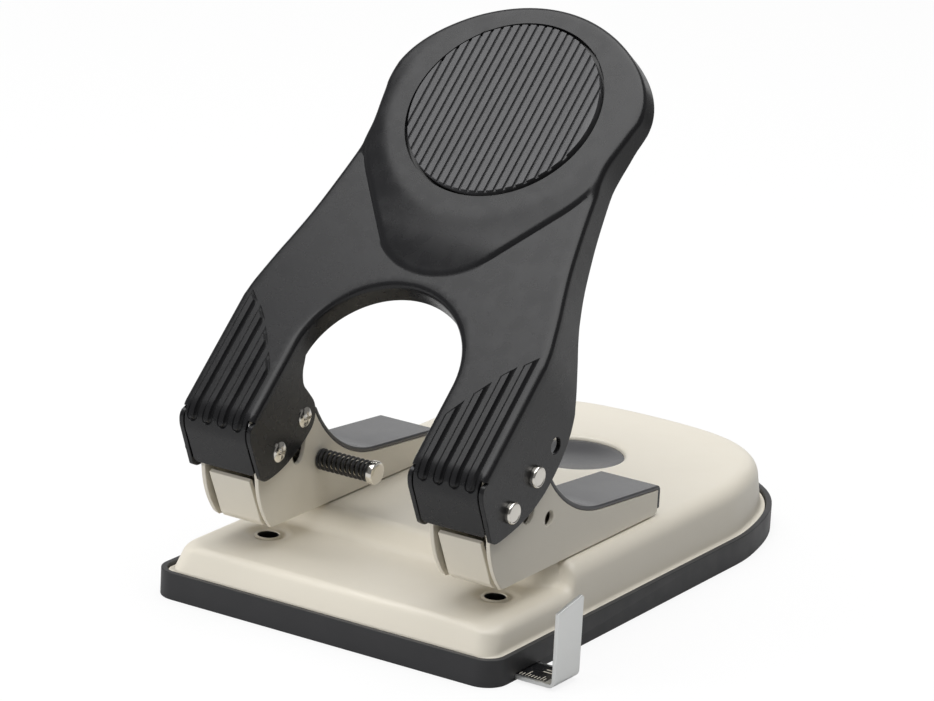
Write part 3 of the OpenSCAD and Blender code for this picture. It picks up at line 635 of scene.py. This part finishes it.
def mirrored(right):
    """A line from the right half, whose last point is on the middle plane, on to the left half."""
    right = np.asarray(right, float)
    left = right[-2::-1].copy()
    left[:, 0] *= -1
    return np.vstack([right, left])


def leg_front(from_x, to_x):
    """Down one edge of a leg's front, round its foot and up the other edge."""
    sign, step = 1 if to_x > from_x else -1, 1.2
    down = [(from_x, s) for s in np.arange(SLIT_S - 1, FACE_END + FOOT_R, -step)]
    foot = [(from_x + sign * FOOT_R * (1 - math.cos(t)), FACE_END + FOOT_R * (1 - math.sin(t)))
            for t in np.linspace(0, math.pi / 2, 6)]
    across = [(x, FACE_END)
              for x in np.linspace(from_x + sign * FOOT_R, to_x - sign * FOOT_R, 10)[1:-1]]
    back = [(to_x - sign * FOOT_R * (1 - math.cos(t)), FACE_END + FOOT_R * (1 - math.sin(t)))
            for t in np.linspace(math.pi / 2, 0, 6)]
    return down + foot + across + back + [(to_x, s) for _, s in down[::-1]]


def stretches(line, ok):
    """The runs of points of a closed line that are ok; at least one point isn't."""
    start = int(np.argmin(ok))
    out, run = [], []
    for p, good in zip(np.roll(line, -start, axis=0), np.roll(ok, -start)):
        if good:
            run.append(p)
        elif run:
            out.append(run)
            run = []
    return out + [run] if run else out


def make_lever():
    """The outer edge and the arch with their walls, then the cheeks, then the plate."""
    sheet = Sheet()
    clearance = 0.45

    curve_v = np.linspace(CHEEK_V, HEAD_V, 47)[1:]
    arc = np.linspace(0, math.pi / 2, 37)[1:]
    trim = 1 - HEAD_CUT * np.sin(2 * arc) ** 2
    right = [(HALF_W, s) for s in BEND_S + STRAIGHT]
    right += list(zip(half_width(curve_v), curve_v))
    right += list(zip(HEAD_X * trim * np.cos(arc), HEAD_V + HEAD_Y * trim * np.sin(arc)))
    outline = mirrored(right)
    run = np.gradient(outline, axis=0)
    run /= np.hypot(*run.T)[:, None]
    normals = np.stack([-run[:, 1], run[:, 0]], -1)
    count = len(BEND_S) + len(STRAIGHT)
    normals[:count - 1] = (-1, 0)
    normals[1 - count:] = (1, 0)
    outer = edge_walls(sheet, outline, normals, lambda v: low_edge(OUTER_LOW, v),
                       rows=10, first=count - 1)

    flat_v = [v for v in STRAIGHT if v <= ARCH_V + 1e-6]
    turn = np.linspace(0, math.pi / 2, 25)[1:]
    right = [(ARCH_R, s) for s in BEND_S + flat_v]
    right += [(ARCH_R * math.cos(t), ARCH_V + ARCH_R * math.sin(t)) for t in turn]
    arch = mirrored(right)
    away = arch - np.array([0, ARCH_V])
    away[arch[:, 1] <= ARCH_V + 1e-6, 1] = 0
    away /= np.hypot(*away.T)[:, None]
    count = len(BEND_S) + len(flat_v)
    inner = edge_walls(sheet, arch, away, lambda v: low_edge(INNER_LOW, v),
                       rows=4, first=count - 1)

    for x, line, end_v, rows, hole in ((HALF_W, OUTER_LOW, CHEEK_V, 11, LOCK_HOLE),
                                       (ARCH_R, INNER_LOW, ARCH_V, 5, None)):
        column = np.linspace(PLATE_W - ROLL, low_edge(line, end_v), rows)
        flat, tris = cheek(line, end_v, column, hole)
        for side in (-1, 1):
            sheet.patch(lever_frame(side * x, flat[:, 0], flat[:, 1]), tris)

    loop = [tuple(p) for p in outer]
    loop += leg_front(ROLL - HALF_W, -ARCH_R - ROLL)
    loop += [tuple(p) for p in inner[::-1]]
    loop += leg_front(ARCH_R + ROLL, HALF_W - ROLL)
    loop = np.array(loop)
    rings, lines = [], []
    for rib in RIBS:
        rings += [rib_line(*rib, depth)
                  for depth in (-2 * GROOVE, -GROOVE, 0, RIB_FLANK / 2, RIB_FLANK)]
    for depth in BOSS_DEPTHS:
        line = boss_line(depth)
        ok = inside(line, [loop]) & (dist_to(line, loop) > clearance)
        if ok.all():
            rings.append(line)
        else:
            lines += stretches(line, ok)
    rings += [ring(0, PAD_V, r, 96) for r in RECESS_RINGS]
    flat, tris = fill([loop], rings, lines, step=1.7, clear=[((0, PAD_V), RECESS_CLEAR)])
    x, s = flat.T
    sheet.patch(over_bend(x, s, plate_height(x, s)), tris)

    up = lever_frame(0, 0, 1) - lever_frame(0, 0, 0)
    bm = welded(sheet, up)
    shell(bm, SHEET_T, ease=12)
    piece("lever_pressing", bm, "black_paint", "lever", ["lever"], sharp=33, bevel=0.22)


# Base plate: one pressed sheet with a low front deck, a step and a high rear deck

PLATE_T = 1.2
FLANGE_X, FLANGE_Z = 57.85, 7.4
FRONT_Y, REAR_Y = -28.65, 107.5

# The step, as (y, z): a hollow at its foot, a round at its top, and how its ends bow back
STEP_R, STEP_FOOT_Y, STEP_TOP_Y, STEP_TURN = 3.0, 9.5, 16.5, 80
STEP = np.array([(STEP_FOOT_Y + STEP_R * math.cos(t), FRONT_DECK_Z + STEP_R * (1 + math.sin(t)))
                 for t in np.radians(np.linspace(270, 270 + STEP_TURN, 8))]
                + [(STEP_TOP_Y + STEP_R * math.cos(t), REAR_DECK_Z - STEP_R * (1 - math.sin(t)))
                   for t in np.radians(np.linspace(90 + STEP_TURN, 90, 8))])
BOW_X, BOW_R, BOW_LIMIT = 41.0, 8.0, 0.97

# How far the rear corners stand out of a half circle, at which angle and how far to either side,
# and the radii from which they do, at all and in full
CORNER_OUT, CORNER_AT, CORNER_HALF = 3.8, 50, 40
CORNER_FROM_R, CORNER_FULL_R = 20, 40

# Walls: lean in degrees, and what the front and the rear add to it
SIDE_LEAN, FRONT_LEAN, REAR_LEAN = 6.5, 17.5, 13.5
# The flange's flat and the hollow above it, as (side, front)
FLANGE_FLAT, FLANGE_HOLLOW = (0.25, 0.1), (1.4, 0.6)
# Radius of the upper edge, and what the high deck and the rear add to it
EDGE_R, EDGE_R_HIGH, EDGE_R_REAR = 3.5, 2.0, 1.5
# Where round the rear curve its share starts, and its run, in radians
REAR_FROM, REAR_RUN = 0.45, 0.9
# Front corners: radius, its growth with the inset, and the turn that blends front into side
FRONT_R, FRONT_R_GROWTH, FRONT_TURN = 5.15, 0.25, 1.57

# Height about the holes and the dish, as (radius, height)
HOLE_RINGS = [(3.22, -0.9), (3.24, -0.5), (3.34, -0.36), (3.8, -0.34), (3.92, -0.4), (4.15, -0.82),
              (4.6, -0.84), (5.4, -0.56), (6.4, -0.24), (7.2, -0.07), (8.0, 0.0)]
DISH_RINGS = [(15.5, -1.6), (15.58, -1.1), (15.85, -0.62), (16.3, -0.28), (16.9, -0.08),
              (17.6, 0.0)]


def bow(x):
    """How far the step runs back at its ends, round the rear deck's front corners."""
    k = np.clip((np.abs(x) - BOW_X) / BOW_R, 0, BOW_LIMIT)
    return BOW_R * (1 - np.sqrt(1 - k * k))


def deck_z(x, y):
    """Height of the decks and of the step between them."""
    return np.interp(y - bow(x), STEP[:, 0], STEP[:, 1])


def rear_corner(x, y, z):
    """A point of the rear curve, moved out near its corners, which are squarer than a circle."""
    r = math.hypot(x, y - REAR_Y)
    if y <= REAR_Y or r < CORNER_FROM_R:
        return x, y, z
    off = (math.degrees(math.atan2(y - REAR_Y, abs(x))) - CORNER_AT) / CORNER_HALF
    out = CORNER_OUT * math.cos(math.pi / 2 * off) ** 2 if abs(off) < 1 else 0
    k = 1 + out * min(1, r / CORNER_FULL_R) / r
    return x * k, REAR_Y + (y - REAR_Y) * k, z


def wall_profile(y, front=0.0, rear=0.0):
    """(inset, height) from the flange's edge up to the deck at y.

    front and rear are shares, both 0 on the sides.
    """
    top = float(deck_z(BOW_X + BOW_R, y))
    lean = math.radians(SIDE_LEAN + FRONT_LEAN * front + REAR_LEAN * rear)
    flat, hollow = blend(*FLANGE_FLAT, front), blend(*FLANGE_HOLLOW, front)
    edge_r = (EDGE_R + EDGE_R_HIGH * (top - FRONT_DECK_Z) / (REAR_DECK_Z - FRONT_DECK_Z)
              + EDGE_R_REAR * rear)
    out = [(0.0, FLANGE_Z), (flat, FLANGE_Z)]
    for t in np.linspace(0, math.pi / 2 - lean, 7)[1:]:
        out.append((flat + hollow * math.sin(t), FLANGE_Z + hollow * (1 - math.cos(t))))
    foot = out[-1]
    run = top - edge_r * (1 - math.sin(lean)) - foot[1]
    for k in (1, 2, 3):
        out.append((foot[0] + run * math.tan(lean) * k / 3, foot[1] + run * k / 3))
    centre = out[-1][0] + edge_r * math.cos(lean)
    for t in np.linspace(lean, math.pi / 2, 11)[1:]:
        out.append((centre - edge_r * math.cos(t), top - edge_r + edge_r * math.sin(t)))
    return out


def base_loops():
    """Loops round the base, one for each point of the wall's profile."""
    far = float(bow(BOW_X + BOW_R))
    on_front_deck, side_from, before_step, after_step = -20, -8, 9, 17
    side_y = (list(np.linspace(side_from, before_step + far, 10)) + [y + far for y, _ in STEP]
              + list(np.linspace(after_step + far, REAR_Y, 30)))
    front_wall, side_wall = wall_profile(on_front_deck, 1.0), wall_profile(on_front_deck)
    loops = []
    for k in range(len(side_wall)):
        (d_front, z_front), (d_side, z_side) = front_wall[k], side_wall[k]
        w, front = FLANGE_X - d_side, FRONT_Y + d_front
        r = FRONT_R + FRONT_R_GROWTH * (d_front + d_side)
        half = [(x, front, z_front) for x in np.linspace(0, w - r, 14)[:-1]]
        half += [(w - r + r * math.sin(t), front + r - r * math.cos(t),
                  blend(z_front, z_side, float(smooth(t / FRONT_TURN))))
                 for t in np.linspace(0, math.pi / 2, 15)]
        half += [(w, y, z_side) for y in np.linspace(front + r, side_y[0], 6)[1:-1]]
        for y in side_y:
            d, z = wall_profile(y)[k]
            half.append((FLANGE_X - d, y, z))
        for t in np.linspace(0, math.pi / 2, 46)[1:]:
            d, z = wall_profile(REAR_Y, 0.0, float(smooth((t - REAR_FROM) / REAR_RUN)))[k]
            w = FLANGE_X - d
            half.append(rear_corner(w * math.cos(t), REAR_Y + w * math.sin(t), z))
        loops.append(half + [(-x, y, z) for x, y, z in half[-2:0:-1]])
    return loops


def make_base_plate():
    """The walls, then the decks with the step, the holes' dimples and the dish's edge."""
    sheet = Sheet()
    short = 1.6
    loops = base_loops()
    sheet.strip(loops, closed=True)
    edge = np.array(loops[-1])[:, :2]
    sunk = ((-LEG_X, 0, np.array(HOLE_RINGS), 48), (LEG_X, 0, np.array(HOLE_RINGS), 48),
            (0, REAR_Y, np.array(DISH_RINGS), 96))
    holes = [ring(x, y, levels[0, 0], n) for x, y, levels, n in sunk]
    rings = [ring(x, y, r, n) for x, y, levels, n in sunk for r in levels[1:, 0]]
    lines = []
    for y, _ in STEP:
        at_y = (np.abs(edge[:, 1] - y - bow(BOW_X + BOW_R)) < 1e-6) & (edge[:, 0] > 0)
        reach = edge[at_y, 0][0] - short
        lines.append([(x, y + float(bow(x))) for x in np.linspace(-reach, reach, 44)])
    flat, tris = fill([edge] + holes, rings, lines, step=3.2)
    z = deck_z(flat[:, 0], flat[:, 1])
    for x, y, levels, _ in sunk:
        z = z + np.interp(np.hypot(flat[:, 0] - x, flat[:, 1] - y), levels[:, 0], levels[:, 1])
    sheet.patch(np.column_stack([flat, z]), tris)
    bm = welded(sheet, (0, 0, 1))
    shell(bm, PLATE_T, ease=6)
    piece("base_pressing", bm, "ivory_paint", "base", ["base_plate"], sharp=38, bevel=0.12)


# Springs: one round wire with closed end turns

def make_spring(name, node, start, axis, across, mean_r, wire, length, turns, mat):
    """A coil from start along axis."""
    per_turn, sides = 28, 10
    closed, end, next_turn = 0.9, wire * 0.5, wire * 0.85
    count = turns * per_turn
    t = np.arange(count + 1) / per_turn
    along = np.interp(t, [0, closed, turns - closed, turns],
                      [end, next_turn, length - next_turn, length - end])
    angle = 2 * math.pi * t
    a, u = np.array(axis, float), np.array(across, float)
    v = np.cross(a, u)
    out = np.cos(angle)[:, None] * u + np.sin(angle)[:, None] * v
    line = np.array(start) + mean_r * out + along[:, None] * a
    tangent = np.gradient(line, axis=0)
    tangent /= np.linalg.norm(tangent, axis=1)[:, None]
    out -= (out * tangent).sum(1)[:, None] * tangent
    out /= np.linalg.norm(out, axis=1)[:, None]
    up = np.cross(tangent, out)
    p = 2 * math.pi * np.arange(sides)[:, None] / sides
    sheet = Sheet()
    sheet.strip([line[i] + wire / 2 * (np.cos(p) * out[i] + np.sin(p) * up[i])
                 for i in range(count + 1)], closed=True)
    obj = piece(name, closed_up(sheet), mat, "base", [node], sharp=50)
    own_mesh(obj)


# Guide: a scale on the bar's upper face, with a dark band, strokes and bars

# The bar's face and middle line, the band, the strokes, and the bars between them as (low, high)
BAR_Z, BAR_Y = 1.95, -12.9
BAND_X, BAND_HALF, BAND_T = (-38, 69.5), 5.6, 0.03
MARK_Z = (BAR_Z + 0.02, BAR_Z + 0.05)
MARK_X, MARK_COUNT, MARK_HALF = -37.5, 107, 0.14
MARK_LOW = BAR_Y - 5.2
LONG_MARK, MIDDLE_MARK, SHORT_MARK = 4.2, 3.0, 1.8
BAR_HALF, BAR_ROWS = 1.6, ((0.6, 1.1), (2.4, 2.9))


def make_scale():
    """The band, and strokes a millimetre apart with a longer one at every fifth and tenth."""
    def slab(sheet, x0, x1, y0, y1, z0, z1):
        corners = [(x, y, z) for z in (z0, z1) for x, y in ((x0, y0), (x1, y0), (x1, y1), (x0, y1))]
        walls = [(i, (i + 1) % 4, (i + 1) % 4 + 4, i + 4) for i in range(4)]
        sheet.patch(corners, [(0, 3, 2, 1), (4, 5, 6, 7)] + walls)

    band, marks = Sheet(), Sheet()
    slab(band, *BAND_X, BAR_Y - BAND_HALF, BAR_Y + BAND_HALF, BAR_Z, BAR_Z + BAND_T)
    for i in range(MARK_COUNT):
        x = MARK_X + i
        size = LONG_MARK if i % 10 == 0 else MIDDLE_MARK if i % 5 == 0 else SHORT_MARK
        slab(marks, x - MARK_HALF, x + MARK_HALF, MARK_LOW, MARK_LOW + size, *MARK_Z)
        if i % 10 == 4:
            for low, high in BAR_ROWS:
                slab(marks, x - BAR_HALF, x + BAR_HALF, BAR_Y + low, BAR_Y + high, *MARK_Z)
    piece("scale_band", welded(band), "black_paint", "guide")
    piece("scale_marks", welded(marks), "ivory_paint", "guide")


# Screws and frames

def make_screw(node, origin, axis):
    """A screw with a round head, its underside at the origin, and a cross recess."""
    steps, radius, top, dome, rim = 48, 3.1, 1.6, 0.95, 0.65
    reach, half, wall, deep = 1.85, 0.45, 0.16, 0.8
    shank_r, shank_end, tip_r = 1.4, -6, 0.02
    face_rings = (2.95, 2.7, 2.35)

    def cross(inset):
        a, b = reach - inset, half - inset
        corner = [(a, b), (b, b), (b, a)]
        return (corner + [(-x, y) for x, y in corner[::-1]] + [(-x, -y) for x, y in corner]
                + [(x, -y) for x, y in corner[::-1]])

    rings = [ring(0, 0, r, steps) for r in face_rings] + [cross(0), cross(wall)]
    flat, tris = fill([ring(0, 0, radius, steps)], rings, step=0.55)
    x, y = np.abs(flat).T
    depth = np.maximum(np.minimum(reach - x, half - y), np.minimum(half - x, reach - y))
    height = top - dome * (np.hypot(x, y) / radius) ** 3 - deep * np.clip(depth / wall, 0, 1)
    sheet = Sheet()
    sheet.patch(np.column_stack([flat, height]), tris)
    sheet.turn(((radius, rim), (radius, 0), (shank_r, 0), (shank_r, shank_end),
                (tip_r, shank_end)), steps)
    sheet.aim(origin, axis)
    piece(node + "_form", closed_up(sheet), "nickel", "lever", [node], sharp=30)


def frame_fold(side):
    """Lifts the outer edges of a frame's floor, as a fold does, and sets its tongue forward."""
    fold_from, fold_z, lift = 10.2, REAR_DECK_Z + 0.05, 0.5
    tongue_half, within, tongue_y, forward, narrow = 7.5, 0.01, -8, 0.7, 0.97
    middle = side * LEG_X

    def move(x, y, z):
        across = abs(x - middle)
        if across > fold_from and z < fold_z:
            z += lift
        if abs(across - tongue_half) < within and y < tongue_y:
            x, y = middle + (x - middle) * narrow, y - forward
        return x, y, z
    return move


# Build; the profiles are (radius, along)

DISH = [(0.02, 20.3), (3, 20.34), (6, 20.5), (9, 20.82), (12, 21.28), (14, 21.58), (15.1, 21.66),
        (17, 21.6), (17.3, 21.4), (17.3, 19.4), (17.0, 19.3), (0.02, 19.3)]
# A dark sleeve over the wall of each deck hole: painted shade, so the hole reads black from its
# edge
HOLE_SHADE_SLEEVE = [(3.06, -0.7), (3.1, -0.58), (3.23, -0.58), (3.23, -2.4), (3.06, -2.4), (3.06, -0.7)]
RIVET = [(1.45, -12.5), (2.35, -12.5), (2.5, -12.35), (2.5, 12.5), (3.1, 12.5), (3.25, 12.62),
         (3.25, 13.55), (3.18, 13.86), (3.02, 14.1), (2.84, 14.24), (2.7, 14.26), (2.58, 14.2),
         (2.44, 14.1), (2.3, 14.08), (0.02, 14.12)]
PLUNGER = [(0.02, -50.0), (1.7, -50.0), (2.2, -49.5), (2.2, -32.3), (1.8, -32.3), (1.8, -31.3),
           (2.2, -31.3), (2.2, -11.4), (3.3, -11.4), (3.6, -11.15), (3.6, -9.7), (3.45, -9.36),
           (3.1, -9.2), (2.0, -9.16), (0.02, -9.14)]
RETURN_FOOT_Z, LOCK_FOOT_X = 25.7, -29.6

make_lever()
make_base_plate()

dress("chip_tray", "tray_plastic", "tray", 0.29, reshape=rear_corner)
lathe("dish_cup", DISH, (0, REAR_Y, 0), (0, 0, 1), "grey_plastic", "base", ["dish_insert"],
      steps=96)
dress("pad_insert", "pad_plastic", "lever", 0.16, segments=2)
dress("lock_clip", "steel", "lock", 0.12, segments=2)
dress("paper_guide", "zinc", "guide", 0.22)
make_scale()

for name, side in SIDES.items():
    for pin, (y, z) in (("pivot", PIVOT), ("pusher", PUSHER)):
        lathe(f"{pin}_rivet_{name}", RIVET, (side * LEG_X, y, z), (side, 0, 0), "nickel", "lever",
              [f"{pin}_pin_{name}"])
        make_screw(f"{pin}_screw_{name}", (side * SCREW_X, y, z), (-side, 0, 0))
    dress(f"punch_frame_{name}", "ivory_paint", "base", 0.28, reshape=frame_fold(side))
    dress(f"frame_cap_{name}", "grey_plastic", "base", 0.55, segments=4)
    dress(f"guide_bush_{name}", "steel", "base", 0.15, segments=2)
    dress(f"die_bush_{name}", "dark_steel", "base", 0.15, segments=2)
    # The dark sleeve in each die hole is painted shade
    lathe(f"hole_shade_sleeve_{name}", HOLE_SHADE_SLEEVE, (side * LEG_X, 0, FRONT_DECK_Z), (0, 0, 1), "dark_steel",
          "base")
    dress(f"frame_rivets_{name}", "steel", "base", 0.3)
    dress(f"punch_{name}", "steel", f"punch_{name}", 0.2, segments=2)
    dress(f"spring_collar_{name}", "steel", f"punch_{name}", 0.15, segments=2)
    make_spring(f"return_coil_{name}", f"return_spring_{name}", (side * LEG_X, 0, RETURN_FOOT_Z),
                axis=(0, 0, 1), across=(1, 0, 0), mean_r=4.75, wire=1.1, length=23.0, turns=7,
                mat="steel")

lathe("lock_button", PLUNGER, (0, *LOCK), (1, 0, 0), "nickel", "lock", ["lock_plunger"])
make_spring("lock_coil", "lock_spring", (LOCK_FOOT_X, *LOCK),
            axis=(1, 0, 0), across=(0, 1, 0), mean_r=2.85, wire=0.8, length=18.1, turns=12,
            mat="black_spring")


# Stage, light and camera, in metres; shares of white by the kind of ray, and angles in degrees

FLOOR_HALF = 6
FLOOR_GREY, FLOOR_SEEN, FLOOR_GLOSSY, FLOOR_WHITE = 0.3, 0.6, 0.27, 0.85
WORLD_SEEN, WORLD_LIGHT = 0.78, 0.22
AZIMUTH, ELEVATION, CAMERA_ROLL = 32.049, 17.229, 3.133
CAMERA_PLACE, LENS, SENSOR = (0.69194, -1.06385, 0.47558), 177.9, 36


def make_stage():
    """A floor that is near white to the camera, less so in reflections and grey to other light."""
    h = FLOOR_HALF
    mesh = bpy.data.meshes.new("floor")
    mesh.from_pydata([(-h, -h, 0), (h, -h, 0), (h, h, 0), (-h, h, 0)], [], [(0, 1, 2, 3)])
    floor = bpy.data.objects.new("floor", mesh)
    scene.collection.objects.link(floor)
    mat = bpy.data.materials.new("floor")
    mat.use_nodes = True
    tree = mat.node_tree
    tree.nodes.clear()
    out = tree.nodes.new("ShaderNodeOutputMaterial")
    path = tree.nodes.new("ShaderNodeLightPath")
    plain = tree.nodes.new("ShaderNodeBsdfDiffuse")
    seen = link_maths(tree, "MULTIPLY", path.outputs["Is Camera Ray"], FLOOR_SEEN)
    glossy = link_maths(tree, "MULTIPLY", path.outputs["Is Glossy Ray"], FLOOR_GLOSSY)
    colour = link_maths(tree, "ADD", link_maths(tree, "ADD", seen, glossy), FLOOR_GREY)
    tree.links.new(colour, plain.inputs["Color"])
    white = tree.nodes.new("ShaderNodeEmission")
    white.inputs["Strength"].default_value = 1.0
    share = link_maths(tree, "MULTIPLY", path.outputs["Is Camera Ray"], FLOOR_WHITE)
    mix = tree.nodes.new("ShaderNodeMixShader")
    tree.links.new(share, mix.inputs["Fac"])
    tree.links.new(plain.outputs[0], mix.inputs[1])
    tree.links.new(white.outputs[0], mix.inputs[2])
    tree.links.new(mix.outputs[0], out.inputs["Surface"])
    mesh.materials.append(mat)


def make_world():
    """A background that is white to the camera and dim to other light."""
    world = bpy.data.worlds.new("studio")
    scene.world = world
    world.use_nodes = True
    tree = world.node_tree
    tree.nodes.clear()
    out = tree.nodes.new("ShaderNodeOutputWorld")
    back = tree.nodes.new("ShaderNodeBackground")
    path = tree.nodes.new("ShaderNodeLightPath")
    seen = link_maths(tree, "MULTIPLY", path.outputs["Is Camera Ray"], WORLD_SEEN)
    tree.links.new(link_maths(tree, "ADD", seen, WORLD_LIGHT), back.inputs["Strength"])
    tree.links.new(back.outputs[0], out.inputs["Surface"])


def lamp(name, place, target, size, power, turn=0, mirrored_in=True):
    """A soft box aimed at the target; mirrored_in says whether gloss shows it."""
    data = bpy.data.lights.new(name, "AREA")
    data.shape = "RECTANGLE"
    data.size, data.size_y = size
    data.energy = power
    obj = bpy.data.objects.new(name, data)
    obj.location = place
    obj.rotation_mode = "QUATERNION"
    aim = (Vector(target) - Vector(place)).to_track_quat("-Z", "Y")
    obj.rotation_quaternion = aim @ Quaternion((0, 0, 1), math.radians(turn))
    obj.visible_glossy = mirrored_in
    scene.collection.objects.link(obj)


def make_camera():
    """The camera that was fitted to the photograph."""
    az, el, roll = [math.radians(a) for a in (AZIMUTH, ELEVATION, CAMERA_ROLL)]
    b = Vector((math.sin(az) * math.cos(el), -math.cos(az) * math.cos(el), math.sin(el)))
    r = Vector((math.cos(az), math.sin(az), 0))
    u = b.cross(r)
    right = math.cos(roll) * r + math.sin(roll) * u
    up = -math.sin(roll) * r + math.cos(roll) * u
    data = bpy.data.cameras.new("camera")
    data.sensor_width = SENSOR
    data.lens = LENS
    data.clip_start, data.clip_end = 0.05, 50
    obj = bpy.data.objects.new("camera", data)
    matrix = Matrix((right, up, b)).transposed().to_4x4()
    matrix.translation = CAMERA_PLACE
    obj.matrix_world = matrix
    scene.collection.objects.link(obj)
    scene.camera = obj


make_stage()
make_world()
make_camera()
lamp("overhead", (0.03, 0.03, 1.35), target=(0.03, 0.03, 0), size=(1.8, 1.8), power=28, turn=45)
lamp("front", (-0.95, -1.1, 0.2), target=(0, 0, 0.06), size=(0.9, 0.38), power=12,
     mirrored_in=False)
lamp("rear", (-0.8, 1.5, 0.4), target=(0, 0.05, 0.06), size=(1.6, 0.8), power=2.2)
scene.view_settings.view_transform = "Standard"
